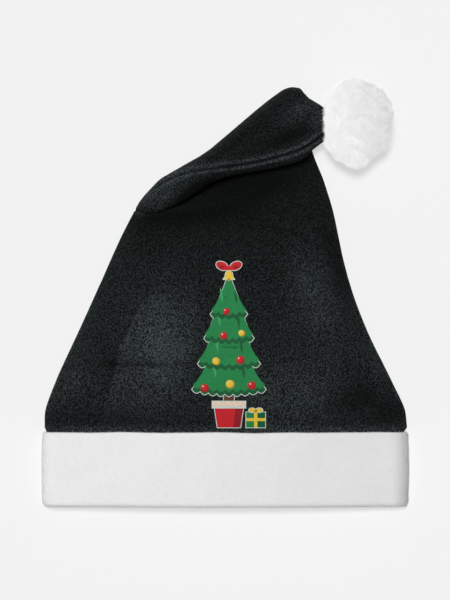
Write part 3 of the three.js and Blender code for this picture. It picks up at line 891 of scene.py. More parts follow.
    def inner_surface(
        self, sections: list[Section], parts: list[tuple], smooth: Array, normals: Array
    ) -> Array:
        """The surface inside the wall, whose layers stay apart where the tip is thin.

        Args:
            sections: The cross-sections.
            parts: Their points, distances from the edge and layers.
            smooth: The surface's points, by row and column.
            normals: Its outward directions.

        Returns:
            The inner surface's points, by row and column.
        """
        inner = []
        first_bent = self.seat_rows + (len(self.body_rows) - self.bent_rows) * self.body_steps
        for i in range(0, len(sections) - self.solid_rows * self.flap_steps, self.inner_stride):
            section = sections[i]
            _, from_edge, layer = parts[i]
            wall = self.pressed_wall if section.kind is FLAP else self.wall
            if i > first_bent:
                thick = smooth_step(from_edge, 0, self.hinge_reach)
                wall = wall * (self.hinge_wall + (1 - self.hinge_wall) * thick)[:, None]
            points = smooth[i] - wall * normals[i]
            if section.kind is SectionKind.SEAT:
                y = section.left[1]
                points = self.columns(self.seat_section(y, -self.wall), self.seat_section(y, 0))[0]
            if not section.sine:
                level = ((points - section.left) @ section.to_front) * layer
                push = np.maximum(self.layer_gap / 2 - level, 0) * layer
                points = points + push[:, None] * section.to_front
            inner.append(points)
        return np.array(inner)


@dataclass(frozen=True)
class PaintedShadeAndNap:
    """Painted light and shade on the crown's fleece, mixed with its brushed nap: painted light and shade
    at the pleat, a painted shadow under the folded tip, painted highlights on the seams' ridges with
    painted shade in their grooves, and patches of painted light and shade among paler and darker brushed
    nap.
    """

    pleat_light: float = 0.9
    pleat_light_reach: float = 14.0
    pleat_shade: float = -0.25
    pleat_shade_reach: float = 7.0
    pleat_half: float = 42.0
    # painted shadow on the body under the folded tip's edge, painted light in the crease right at it,
    # painted shade where the tip's edge rolls under, and a painted highlight along the tip's seam
    fold_shade: PaintedBand = PaintedBand(-0.3, 9.0)
    fold_crease_light: PaintedBand = PaintedBand(1.1, 2.6)
    flap_edge_shade: PaintedBand = PaintedBand(-0.35, 3.5)
    seam_highlight: PaintedBand = PaintedBand(0.75, 4.6)
    # painted highlight on the seams' ridges and painted shade in their grooves
    ridge_light_groove_shade: float = 0.85
    darkest: float = 0.12
    lightest: float = 4.0

    # patches of painted light and shade, mixed with brushed nap paler or darker than the rest
    shade_and_nap_patches: tuple[Spot, ...] = (
        Spot(BODY, (-0.165, 0.235), 38, 22, 80, 2.0),
        # painted shade along the packing crease
        Spot(BODY, (-0.2, 0.1965), 42, 1.8, 2, -1.35),
        Spot(BODY, (-0.235, 0.3), 26, 12, 60, 0.35),
        Spot(BODY, (-0.305, 0.165), 30, 8, 66, -0.1),
        Spot(BODY, (-0.405, 0.15), 12, 6, 66, 0.5),
        Spot(BODY, (0.17, 0.1), 42, 26, 0, 1.25),
        Spot(BODY, (0.24, 0.385), 36, 16, 105, 1.05),
        Spot(BODY, (0.312, 0.46), 32, 7, 105, -0.55),
        Spot(BODY, (0.365, 0.27), 26, 12, 112, 0.3),
        Spot(BODY, (0.415, 0.165), 18, 8, 115, 0.6),
        Spot(BODY, (0.35, 0.095), 28, 13, 20, -0.7),
        Spot(BODY, (0.45, 0.055), 18, 11, 20, -0.55),
        # painted shadow on the body under the folded tip
        Spot(BODY, (0.0, 0.7), 80, 16, 14, -0.7),
        Spot(BODY, (-0.03, 0.62), 80, 22, 8, -0.25),
        Spot(BODY, (-0.38, 0.12), 44, 22, 0, 0.3),
        Spot(BODY, (-0.33, 0.04), 60, 7, 0, -0.35),
        Spot(BODY, (0.0, 0.006), 400, 3, 0, 1.5),
        # painted light in the crease at the fold's left end
        Spot(BODY, (-0.232, 0.642), 6, 4, 60, 0.8),
        # wide painted shade on the body below the folded tip
        Spot(BODY, (0.0, 0.64), 220, 58, 0, -0.36),
        # painted light and shade on the folded tip: its darker face and hollows, its lit streaks and lobe
        Spot(FLAP, (0.06, 0.83), 85, 36, 35, -0.5),
        Spot(FLAP, (0.2, 0.93), 16, 7, 28, 0.9),
        Spot(FLAP, (0.18, 0.855), 22, 6, 22, -0.5),
        Spot(FLAP, (0.25, 0.9), 7, 5, 60, 1.0),
        Spot(FLAP, (-0.165, 0.69), 20, 7, 38, 0.6),
        Spot(FLAP, (-0.085, 0.69), 17, 7, 30, -0.95),
    )

    def pleat_step(self, distance: Array, along: Array) -> Array:
        """Painted light and shade across the pleat, standing in for the slopes of the bulge beside it,
        partly a real step in the nap.

        Args:
            distance: Distances from the pleat, negative on its lighter side.
            along: Distances along +Y from its middle.

        Returns:
            The change of tone.
        """
        light = self.pleat_light * np.exp(distance / self.pleat_light_reach)
        shade = self.pleat_shade * np.exp(-distance / self.pleat_shade_reach)
        return np.where(distance < 0, light, shade) * np.exp(-((along / self.pleat_half) ** 4))

    def tone(self, shape: CrownShape, surface: CrownSurface) -> Array:
        """Tone of the nap together with the painted light and shade, where 1 is usual.

        Args:
            shape: The crown's shape.
            surface: Its surfaces.

        Returns:
            The tone at the outer surface, by row and column.
        """
        outer, flap = surface.outer, surface.flap_rows
        on_flap = flap[:, None]
        to_pleat, to_fold, to_seam = (
            signed_distance(outer.reshape(-1, 3), line).reshape(outer.shape[:2])
            for line in (shape.pleat, shape.edges[0], shape.seam)
        )
        # painted light and shade across the pleat
        step = self.pleat_step(to_pleat, outer[..., 1] - shape.pleat[:, 1].mean())
        tone = 1 + shape.spots_at(self.shade_and_nap_patches, outer, flap, ~flap) + np.where(on_flap, 0.0, step)
        # painted shadow under the folded tip's edge with painted light in its crease, and painted shade
        # where the tip's edge rolls under
        behind = 1 + self.fold_shade.at(to_fold) + self.fold_crease_light.at(to_fold)
        tone *= np.where(on_flap, 1 + self.flap_edge_shade.at(to_fold), behind)
        # painted highlight along the folded tip's seam
        tone += np.where(on_flap, self.seam_highlight.at(to_seam), 0.0)
        # painted highlights on the seams' ridges and painted shade in their grooves
        return np.clip(tone * (1 + self.ridge_light_groove_shade * surface.ridges), self.darkest, self.lightest)


@dataclass(frozen=True)
class Grain:
    """A noise of a finish: its pattern, the values taken as 0 and 1, and its bump in metres."""

    scale: float
    detail: float
    roughness: float
    low: float = 0.3
    high: float = 0.7
    stretch: Point = (1.0, 1.0, 1.0)
    strength: float = 0.0
    depth: float = 0.0


class NodeBook:
    """A material being built from procedural nodes."""

    def __init__(self, name: str) -> None:
        """Start a material.

        Args:
            name: Its name.
        """
        self.material = bpy.data.materials.new(name)
        self.material.use_nodes = True
        self.tree = self.material.node_tree
        self.shader = self.tree.nodes["Principled BSDF"]
        self.place = self.tree.nodes.new("ShaderNodeTexCoord").outputs["Object"]

    def noise(self, grain: Grain) -> Socket:
        """Add a noise over the object's own coordinates.

        Args:
            grain: Its pattern.

        Returns:
            The noise's value.
        """
        mapping = self.tree.nodes.new("ShaderNodeMapping")
        mapping.inputs["Scale"].default_value = grain.stretch
        self.tree.links.new(self.place, mapping.inputs["Vector"])
        noise = self.tree.nodes.new("ShaderNodeTexNoise")
        noise.inputs["Scale"].default_value = grain.scale
        noise.inputs["Detail"].default_value = grain.detail
        noise.inputs["Roughness"].default_value = grain.roughness
        self.tree.links.new(mapping.outputs["Vector"], noise.inputs["Vector"])
        return noise.outputs["Fac"]

    def ramp(self, value: Socket, grain: Grain) -> Socket:
        """Stretch a noise so that the grain's low value becomes 0 and its high value 1.

        Args:
            value: The noise's value.
            grain: Its pattern.

        Returns:
            The stretched value.
        """
        node = self.tree.nodes.new("ShaderNodeMapRange")
        node.inputs["From Min"].default_value = grain.low
        node.inputs["From Max"].default_value = grain.high
        self.tree.links.new(value, node.inputs["Value"])
        return node.outputs["Result"]

    def mixed(self, first: Socket, second: Socket, share: float) -> Socket:
        """Mix two values.

        Args:
            first: One value.
            second: The other.
            share: How much of the second.

        Returns:
            The mixed value.
        """
        node = self.tree.nodes.new("ShaderNodeMix")
        node.inputs["Factor"].default_value = share
        self.tree.links.new(first, node.inputs["A"])
        self.tree.links.new(second, node.inputs["B"])
        return node.outputs["Result"]

    def blend(self, share: Socket, low: Colour, high: Colour) -> Socket:
        """Blend two colours.

        Args:
            share: A value from 0 to 1.
            low: The colour at 0.
            high: The colour at 1.

        Returns:
            The blended colour.
        """
        node = self.tree.nodes.new("ShaderNodeMix")
        node.data_type = "RGBA"
        self.tree.links.new(share, node.inputs["Factor"])
        low_input, high_input = node.inputs[6:8]
        low_input.default_value = (*low, 1.0)
        high_input.default_value = (*high, 1.0)
        return node.outputs[2]

    def times_attribute(self, colour: Socket, name: str) -> Socket:
        """Multiply a colour by a value that the mesh holds at its points.

        Args:
            colour: The colour.
            name: The value's name.

        Returns:
            The multiplied colour.
        """
        attribute = self.tree.nodes.new("ShaderNodeAttribute")
        attribute.attribute_name = name
        node = self.tree.nodes.new("ShaderNodeVectorMath")
        node.operation = "SCALE"
        self.tree.links.new(colour, node.inputs[0])
        self.tree.links.new(attribute.outputs["Fac"], node.inputs["Scale"])
        return node.outputs["Vector"]

    def bump(self, layers: list[tuple[Socket, Grain]]) -> None:
        """Add bumps on top of each other.

        Args:
            layers: For each bump its height and its grain.
        """
        previous = None
        for height, grain in layers:
            node = self.tree.nodes.new("ShaderNodeBump")
            node.inputs["Strength"].default_value = grain.strength
            node.inputs["Distance"].default_value = grain.depth
            self.tree.links.new(height, node.inputs["Height"])
            if previous is not None:
                self.tree.links.new(previous, node.inputs["Normal"])
            previous = node.outputs["Normal"]
        self.tree.links.new(previous, self.shader.inputs["Normal"])

    def colour(self, output: Socket) -> None:
        """Lead a colour to the shader."""
        self.tree.links.new(output, self.shader.inputs["Base Color"])

    def set(self, values: dict[str, float | tuple]) -> None:
        """Set inputs of the shader by their names."""
        for name, value in values.items():
            self.shader.inputs[name].default_value = value


@dataclass(frozen=True)
class FleeceFinish:
    """Short-napped fleece, nearly black with a green cast."""

    dark: Colour = (0.0002, 0.0003, 0.0003)
    light: Colour = (0.0295, 0.036, 0.037)
    nap: Grain = Grain(880, 3, 0.52, 0.445, 0.59, (1.15, 0.8, 1.0), strength=1.0, depth=0.0019)
    pile: Grain = Grain(1500, 2, 0.6, 0.35, 0.65, (0.9, 1.1, 1.0), strength=0.5, depth=0.0007)
    cloud: Grain = Grain(34, 2, 0.5)
    pile_share: float = 0.12
    cloud_share: float = 0.1
    roughness: float = 0.92
    specular: float = 0.1
    sheen: float = 0.035
    sheen_roughness: float = 0.42
    sheen_tint: Colour = (0.62, 0.74, 0.76)

    def material(self) -> bpy.types.Material:
        """Make the fleece: clumps of nap in two tones, multiplied by the painted light and shade held on
        the mesh, with a bump at two scales.

        Returns:
            The material.
        """
        nodes = NodeBook("fleece")
        nap, pile, cloud = (nodes.noise(grain) for grain in (self.nap, self.pile, self.cloud))
        tone = nodes.mixed(nodes.ramp(nap, self.nap), nodes.ramp(pile, self.pile), self.pile_share)
        tone = nodes.mixed(tone, nodes.ramp(cloud, self.cloud), self.cloud_share)
        # the base colour is multiplied by the painted light and shade held on the mesh
        nodes.colour(nodes.times_attribute(nodes.blend(tone, self.dark, self.light), SHADE_AND_NAP_TONE))
        nodes.bump([(nap, self.nap), (pile, self.pile)])
        nodes.set({
            "Roughness": self.roughness,
            "Specular IOR Level": self.specular,
            "Sheen Weight": self.sheen,
            "Sheen Roughness": self.sheen_roughness,
            "Sheen Tint": (*self.sheen_tint, 1.0),
        })
        return nodes.material


@dataclass(frozen=True)
class PlushFinish:
    """White plush, with a slight cool cast between its tufts."""

    name: str = "cuff_plush"
    low: Colour = (0.915, 0.915, 0.92)
    high: Colour = (0.95, 0.95, 0.955)
    clumps: Grain = Grain(300, 3, 0.6, strength=0.35, depth=0.0012)
    pile: Grain = Grain(900, 2, 0.6, strength=0.25, depth=0.0005)
    roughness: float = 0.95
    specular: float = 0.15
    sheen: float = 0.15
    sheen_roughness: float = 0.5

    def material(self) -> bpy.types.Material:
        """Make the plush: soft clumps of pile.

        Returns:
            The material.
        """
        nodes = NodeBook(self.name)
        clumps, pile = nodes.noise(self.clumps), nodes.noise(self.pile)
        nodes.colour(nodes.blend(nodes.ramp(clumps, self.clumps), self.low, self.high))
        nodes.bump([(clumps, self.clumps), (pile, self.pile)])
        nodes.set({
            "Roughness": self.roughness,
            "Specular IOR Level": self.specular,
            "Sheen Weight": self.sheen,
            "Sheen Roughness": self.sheen_roughness,
        })
        return nodes.material


@dataclass(frozen=True)
class InkFinish:
    """Flat ink pressed into the nap of the fleece."""

    ink: Ink
    worn: float = 0.82
    nap: Grain = Grain(620, 3, 0.65, 0.3, 0.62, (0.8, 1.25, 1.0), strength=0.3, depth=0.0005)
    roughness: float = 0.7
    specular: float = 0.25

    def material(self) -> bpy.types.Material:
        """Make one ink, a little darker where the nap sinks away.

        Returns:
            The material.
        """
        nodes = NodeBook(f"ink_{self.ink.name.lower()}")
        nap = nodes.noise(self.nap)
        worn = tuple(self.worn * value for value in self.ink.value)
        nodes.colour(nodes.blend(nodes.ramp(nap, self.nap), worn, self.ink.value))
        nodes.bump([(nap, self.nap)])
        nodes.set({"Roughness": self.roughness, "Specular IOR Level": self.specular})
        return nodes.material


@dataclass(frozen=True)
class FloorFinish:
    """Plain pale paper under the hat."""

    colour: Colour = (0.35, 0.35, 0.35)
    grain: Grain = Grain(60, 2, 0.5)
    dimmed: float = 0.995
    glow: float = 0.582

    def material(self) -> bpy.types.Material:
        """Make the paper.

        Returns:
            The material.
        """
        nodes = NodeBook("floor_paper")
        dimmer = tuple(self.dimmed * value for value in self.colour)
        nodes.colour(nodes.blend(nodes.ramp(nodes.noise(self.grain), self.grain), dimmer, self.colour))
        nodes.set({
            "Roughness": 1.0,
            "Specular IOR Level": 0.0,
            "Emission Color": WHITE,
            "Emission Strength": self.glow,
        })
        return nodes.material


@dataclass
class Pile:
    """Short fibres on a surface, each a thin tapered blade, in millimetres."""

    name: str
    count: int
    length: float
    width: float
    lean: float
    seed: int
    curl: float = 0.25
    uplight: float = 0.0
    tangle: float = 0.08
    twist: float = 0.12
    width_spread: Place = (0.7, 1.3)
    floor_gap: float = 0.05

    def build(self, roots: Array, normals: Array, lengths: Array, aims: Array, hat: HatFrame) -> Piece:
        """Make the blades.

        Args:
            roots: Where they start, in millimetres.
            normals: The surface's directions there, which also shade the blades.
            lengths: Their lengths.
            aims: Unit directions in which they grow.
            hat: The hat's sizes.

        Returns:
            One object with all the blades.
        """
        rng = np.random.default_rng(self.seed)
        shade = normals + self.uplight * UP
        side = unit(np.cross(aims, shade + self.twist * rng.normal(size=aims.shape)))
        facing = (np.cross(side, aims) * shade).sum(axis=1, keepdims=True)
        side *= np.where(facing < 0, -1.0, 1.0)
        tip = roots + aims * lengths[:, None] - normals * (self.curl * lengths)[:, None]
        half = 0.5 * self.width * rng.uniform(*self.width_spread, len(roots))[:, None]
        points = np.stack([roots - side * half, roots + side * half, tip], axis=1)
        points[..., 2] = np.maximum(points[..., 2], self.floor_gap)
        blades = np.arange(3 * len(roots)).reshape(-1, 3).tolist()
        piece = new_piece(self.name, hat.placed(points.reshape(-1, 3)), blades)
        shade = shade + self.tangle * rng.normal(size=shade.shape)
        piece.data.normals_split_custom_set_from_vertices(np.repeat(unit(shade), 3, axis=0).tolist())
        return piece


def scatter(points: Array, normals: Array, faces: Array, count: int, seed: int) -> tuple[Array, Array]:
    """Random places on a surface of four-sided faces, spread by area.

    Args:
        points: The surface's points.
        normals: Its directions at the points.
        faces: Its faces.
        count: How many places.
        seed: Chooses them.

    Returns:
        The places and the directions there.
    """
    rng = np.random.default_rng(seed)
    corners = points[faces]
    crosses = np.cross(corners[:, 2] - corners[:, 0], corners[:, 3] - corners[:, 1])
    area = np.linalg.norm(crosses, axis=1)
    chosen = rng.choice(len(faces), size=count, p=area / area.sum())
    u, v = rng.uniform(size=(2, count, 1))
    weights = np.stack([(1 - u) * (1 - v), u * (1 - v), u * v, (1 - u) * v], axis=1)
    place = (corners[chosen] * weights).sum(axis=1)
    return place, unit((normals[faces[chosen]] * weights).sum(axis=1))


@dataclass
class Crown:
    """The fleece crown: one wall, open at the mouth and closed at the tip."""

    shape: CrownShape
    # painted light and shade of the crown, with its brushed nap
    nap: PaintedShadeAndNap = field(default_factory=PaintedShadeAndNap)
    finish: FleeceFinish = field(default_factory=FleeceFinish)

    def build(self) -> Piece:
        """Make the wall's mesh, paint its light and shade with its brushed nap, and dress it.

        Returns:
            The crown.
        """
        surface = self.shape.surfaces()
        outer, inner = surface.outer, surface.inner
        columns = outer.shape[1]
        inner_first = outer.shape[0] * columns
        tips = [outer[-1].mean(axis=0), inner[-1].mean(axis=0)]
        points = np.concatenate([outer.reshape(-1, 3), inner.reshape(-1, 3), tips])
        outer_tip, inner_tip = len(points) - 2, len(points) - 1
        column = np.arange(columns)
        after = (column + 1) % columns
        rim = np.stack([column, inner_first + column, inner_first + after, after], axis=1)
        outer_end, inner_end = inner_first - columns, outer_tip - columns
        outer_cap = [outer_end + column, outer_end + after, np.full(columns, outer_tip)]
        inner_cap = [inner_end + after, inner_end + column, np.full(columns, inner_tip)]
        faces = [
            *grid_faces(outer.shape[0], columns).tolist(),
            *rim.tolist(),
            *grid_faces(inner.shape[0], columns, inner_first, flip=True).tolist(),
            *np.stack(outer_cap, axis=1).tolist(),
            *np.stack(inner_cap, axis=1).tolist(),
        ]
        crown = new_piece("fleece_crown", self.shape.hat.placed(points), faces)
        tone = np.ones(len(points))
        # the outer surface holds the painted light and shade with the brushed nap; the inner surface
        # stays at 1
        tone[:inner_first] = self.nap.tone(self.shape, surface).ravel()
        crown.data.attributes.new(SHADE_AND_NAP_TONE, "FLOAT", "POINT").data.foreach_set("value", tone)
        crown.data.materials.append(self.finish.material())
        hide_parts("crown")
        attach(crown, "root")
        return crown

    @staticmethod
    def declare(crown: Piece, film: Piece) -> None:
        """Take no step; the crown's fleece was cut as two panels side by side."""


@dataclass
class Cuff:
    """The plush cuff: a band folded over at its bottom edge, the crown's edge between its leaves."""

    shape: CrownShape
    finish: PlushFinish = field(default_factory=PlushFinish)
    pile: Pile = field(
        default_factory=lambda: Pile(
            name="cuff_pile", count=150000, length=1.6, width=0.24, lean=0.5, seed=11
        )
    )
    length_spread: Place = (0.6, 1.1)
    lining_margin: float = 0.1
    arc_steps: int = 10
    leaf_steps: int = 34
    edge_depth: float = 16.0
    edge_waves: Waves = Waves(0.45, 58.0, 21)
    face_waves: Waves = Waves(0.35, 38.0, 8)
    least_facing: float = 0.3
    dips: tuple[Spot, ...] = (
        Spot(SectionKind.SEAT, (-0.375, -0.125), 38, 6.5, 31, 0.7),
        Spot(SectionKind.SEAT, (0.3, -0.1), 40, 12, 80, 0.5),
    )

    @property
    def slot(self) -> float:
        """Half the gap between the leaves, from the middle of the crown's wall."""
        return self.shape.sewing_gap + self.shape.wall / 2

    def arc(self, centre: Place, radius: float, start: float, end: float) -> list[Place]:
        """Points of an arc between two angles in degrees, 0 out of the hat and 90 along +Y."""
        angles = np.radians(np.linspace(start, end, self.arc_steps + 1))
        return [(centre[0] + radius * math.sin(a), centre[1] + radius * math.cos(a)) for a in angles]

    def run(self, start: float, end: float, grow: float) -> list[Place]:
        """Points of a leaf between two places along +Y, both left out."""
        return [(float(y), grow) for y in np.linspace(start, end, self.leaf_steps + 2)[1:-1]]

    def profile(self) -> list[Place]:
        """Closed profile of the folded band.

        Returns:
            Its points, as places along +Y and distances out of the seat.
        """
        slot, middle, half = self.slot, -self.shape.wall / 2, self.shape.leaf / 2
        outside = slot + self.shape.leaf
        top, bottom = -half, outside - self.shape.hat.cuff_height
        return [
            *self.arc((top, middle + slot + half), half, 0, 180),
            *self.run(top, bottom, middle + slot),
            *self.arc((bottom, middle), slot, 0, -180),
            *self.run(bottom, top, middle - slot),
            *self.arc((top, middle - slot - half), half, 0, 180),
            *self.run(top, bottom, middle - outside),
            *self.arc((bottom, middle), outside, -180, 0),
            *self.run(bottom, top, middle + outside),
        ]

    def surface(self) -> tuple[Array, Array]:
        """The band's surface, with its slight waves and dips.

        Returns:
            Its points and outward directions, by row and column.
        """
        shape = self.shape
        rows = [
            shape.columns(shape.seat_section(y, grow), shape.seat_section(y, 0))[0]
            for y, grow in self.profile()
        ]
        grid = np.array(rows)
        normals = grid_normals(grid, closed_rows=True)
        top = smooth_step(grid[..., 1], -self.edge_depth, 0)
        grid[..., 1] += top * self.edge_waves.at(grid * ACROSS)
        outside = (grid[..., 2] > shape.edge_height) & (normals[..., 2] > self.least_facing)
        height = self.face_waves.at(grid) - sum(dip.amount_at(grid, shape.hat) for dip in self.dips)
        grid += (outside * height * (1 - top))[..., None] * normals
        return grid, normals

    def build(self) -> Piece:
        """Make the band and its pile.

        Returns:
            The band.
        """
        grid, normals = self.surface()
        faces = grid_faces(*grid.shape[:2], closed_rows=True)
        points = grid.reshape(-1, 3)
        cuff = new_piece("plush_cuff", self.shape.hat.placed(points), faces.tolist())
        plush = self.finish.material()
        cuff.data.materials.append(plush)
        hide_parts("cuff")
        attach(cuff, "root")
        pile = self.build_pile(points, normals.reshape(-1, 3), faces)
        pile.data.materials.append(plush)
        pile.parent = cuff
        return cuff

    def build_pile(self, points: Array, normals: Array, faces: Array) -> Piece:
        """Make the pile on the outside of the band.

        Args:
            points: The band's points.
            normals: Its outward directions.
            faces: Its faces.

        Returns:
            The pile.
        """
        shape, pile = self.shape, self.pile
        grow = [place[1] for place in self.profile()]
        grow = np.repeat(grow, shape.front_columns + shape.back_columns)
        lining = np.abs(grow + shape.wall / 2) < self.slot + self.lining_margin
        kept = ~lining[faces].all(axis=1)
        roots, directions = scatter(points, normals, faces[kept], pile.count, pile.seed)
        rng = np.random.default_rng(pile.seed)
        aims = unit(directions + pile.lean * rng.normal(size=directions.shape))
        lengths = pile.length * rng.uniform(*self.length_spread, len(roots))
        return pile.build(roots, directions, lengths, aims, shape.hat)


@dataclass
class Pompom:
    """The fluffy pompom: a soft core with long pile gathered in tufts, in millimetres."""

    hat: HatFrame
    finish: PlushFinish = field(
        default_factory=lambda: PlushFinish(
            name="pompom_plush",
            low=(0.93, 0.93, 0.935),
            high=(0.955, 0.955, 0.96),
            clumps=Grain(220, 3, 0.6, strength=0.15, depth=0.0012),
        )
    )
    pile: Pile = field(
        default_factory=lambda: Pile(
            name="pompom_pile", count=160000, length=5.0, width=0.22, lean=0.9, seed=17,
            curl=0.15, uplight=1.6, tangle=0.35,
        )
    )
    length: float = 73.5
    height: float = 57.0
    top_rise: float = 1.0
    power: float = 2.1
    depth: float = 2.9
    swell: float = 0.6
    rows: int = 90
    columns: int = 180
    pole: float = 0.004
    rim_steps: int = 5
    tufts: int = 300
    root_scatter: float = 0.006
    tuft_scatter: float = 0.05
    root_sink: float = 0.2
    lowest_root: float = 0.2
    rise: Place = (0.2, 1.2)
    upright_rise: float = 1.6
    upright_share: float = 0.25
    strand_spread: Place = (0.6, 1.15)
    tuft_spread: Place = (0.6, 1.35)

    # direction in plan in degrees, and the reach there as a share of the length
    rim: tuple[Place, ...] = (
        (-18, 0.385), (0, 0.372), (35, 0.415), (50, 0.43), (69, 0.432), (86, 0.466), (98, 0.485),
        (110, 0.48), (119, 0.465), (127, 0.42), (142, 0.425), (156, 0.376), (190, 0.368), (205, 0.385),
        (220, 0.425), (235, 0.445), (247, 0.448), (259, 0.479), (268, 0.5), (276, 0.48), (289, 0.42),
        (308, 0.4), (326, 0.4), (342, 0.385), (360, 0.372),
    )
    # pace along X, Y and Z and the phase of each swell of the core
    swells: tuple = ((13.0, 20.0, 0.0, 0.0), (0.0, 17.0, -11.0, 1.0), (7.0, 0.0, 19.0, 2.0))

    def centre(self) -> Array:
        """Middle of the pompom.

        Returns:
            Its point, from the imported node's box.
        """
        low, high = np.array(self.hat.pompom_low), np.array(self.hat.pompom_high)
        middle = (low + high) / 2 - np.array([*self.hat.origin, 0.0])
        middle[2] = high[2] - self.height / 2 + self.top_rise
        return middle

    def radius(self, directions: Array, sink: float) -> Array:
        """Distance from the centre to the surface, an uneven rounded diamond in plan.

        Args:
            directions: Unit directions.
            sink: How far the surface lies under the outermost one.

        Returns:
            One distance for each direction.
        """
        line = curve_through(np.array(self.rim, dtype=float), self.rim_steps)
        turn = np.degrees(np.arctan2(directions[:, 1], directions[:, 0])) % 360
        reach = self.length * np.interp(turn, line[:, 0], line[:, 1]) - sink
        level = np.linalg.norm(directions[:, :2], axis=1) / reach
        upright = np.abs(directions[:, 2]) / (self.height / 2 - sink)
        return (level**self.power + upright**self.power) ** (-1 / self.power)

    def core_reach(self, directions: Array) -> Array:
        """Distance from the centre to the core's uneven surface."""
        lumps = sum(np.sin(directions @ np.array(pace) + phase) for *pace, phase in self.swells)
        return self.radius(directions, self.depth) + self.swell * lumps / len(self.swells)

    def core_directions(self) -> Array:
        """Directions of the core's points.

        Returns:
            Unit directions, by row from below and by column.
        """
        tilt = np.linspace(self.pole, math.pi - self.pole, self.rows)[::-1]
        turn = np.linspace(0, math.tau, self.columns, endpoint=False)
        ring, level = np.sin(tilt)[:, None], np.cos(tilt)[:, None]
        grid = [ring * np.cos(turn), ring * np.sin(turn), level * np.ones(self.columns)]
        return np.stack(grid, axis=2).reshape(-1, 3)

    @staticmethod
    def sphere_points(count: int) -> Array:
        """Directions spread evenly over a sphere.

        Args:
            count: How many.

        Returns:
            Unit directions.
        """
        place = np.arange(count)
        z = 1 - 2 * (place + 0.5) / count
        angle = math.pi * (3 - math.sqrt(5)) * place
        ring = np.sqrt(1 - z * z)
        return np.stack([ring * np.cos(angle), ring * np.sin(angle), z], axis=1)

    def build(self) -> Piece:
        """Make the core and its pile.

        Returns:
            The core.
        """
        directions = self.core_directions()
        points = self.centre() + directions * self.core_reach(directions)[:, None]
        points[:, 2] = np.maximum(points[:, 2], 0.0)
        faces = grid_faces(self.rows, self.columns).tolist()
        last_row = (self.rows - 1) * self.columns
        caps = [list(range(self.columns))[::-1], list(range(last_row, last_row + self.columns))]
        core = new_piece("pompom_core", self.hat.placed(points), [*faces, *caps])
        plush = self.finish.material()
        core.data.materials.append(plush)
        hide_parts("pompom")
        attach(core, "root")
        pile = self.build_pile()
        pile.data.materials.append(plush)
        pile.parent = core
        return core

    def build_pile(self) -> Piece:
        """Make the pile, whose tips gather in tufts.

        Returns:
            The pile.
        """
        pile = self.pile
        rng = np.random.default_rng(pile.seed)
        scattered = self.root_scatter * rng.normal(size=(pile.count, 3))
        directions = unit(self.sphere_points(pile.count) + scattered)
        scattered = self.tuft_scatter * rng.normal(size=(self.tufts, 3))
        tufts = unit(self.sphere_points(self.tufts) + scattered)
        nearest = (directions @ tufts.T).argmax(axis=1)
        flow = unit(tufts[nearest] - directions)
        flow += pile.lean * rng.normal(size=flow.shape)
        flow = unit(flow - (flow * directions).sum(axis=1, keepdims=True) * directions)
        rise = rng.uniform(*self.rise, (len(flow), 1))
        rise += self.upright_rise * (rng.uniform(size=rise.shape) > 1 - self.upright_share)
        aims = unit(flow + rise * directions)
        lengths = pile.length * rng.uniform(*self.strand_spread, len(aims))
        lengths *= rng.uniform(*self.tuft_spread, self.tufts)[nearest]
        reach = self.core_reach(directions) - self.root_sink
        roots = directions * reach[:, None] + self.centre()
        kept = roots[:, 2] > self.lowest_root
        return pile.build(roots[kept], directions[kept], lengths[kept], aims[kept], self.hat)


@dataclass(frozen=True)
class Tier:
    """One tier of the printed tree's branches, in millimetres."""

    top: float
    bottom: float
    half: float
    waist: float
    teeth: int
    sag: float
    tooth_depth: float = 2.2
    tooth_steps: int = 4
    side_steps: int = 8
    bow_power: float = 0.75
    stroke_steps: int = 7
    stroke_half: float = 1.1
    stroke_lean: float = 0.12

    def outline(self) -> Array:
        """Shape the tier, with branch ends along its hanging lower side.

        Returns:
            Its outline, anticlockwise.
        """
        across = np.linspace(-1, 1, self.teeth * self.tooth_steps + 1)
        ends = self.tooth_depth * np.abs(np.sin(math.pi * (across + 1) * self.teeth / 2))
        lower = [across * self.half, self.bottom - self.sag * (1 - across**2) - ends]
        side = np.linspace(0, 1, self.side_steps)[1:]
        bowed = self.half + (self.waist - self.half) * side**self.bow_power
        right = np.stack([bowed, self.bottom + (self.top - self.bottom) * side], axis=1)
        left = np.stack([-bowed[::-1], right[::-1, 1]], axis=1)
        return np.concatenate([np.stack(lower, axis=1), right, left])

    def streak(self, place: float, rise: float, share: float) -> Array:
        """Outline of a slim leaning stroke on the tier.

        Args:
            place: Where it stands, as a share of half the tier's width.
            rise: How far it starts over the lower corners.
            share: Its height as a share of the tier's.

        Returns:
            The outline.
        """
        height = share * (self.top - self.bottom)
        up = np.linspace(0, 1, self.stroke_steps)
        swell = np.stack([self.stroke_half * np.sin(math.pi * up), 0 * up], axis=1)
        x, y = place * self.half, self.bottom + rise
        line = np.stack([x - self.stroke_lean * height * up, y + height * up], axis=1)
        return np.concatenate([line + swell, (line - swell)[::-1]])


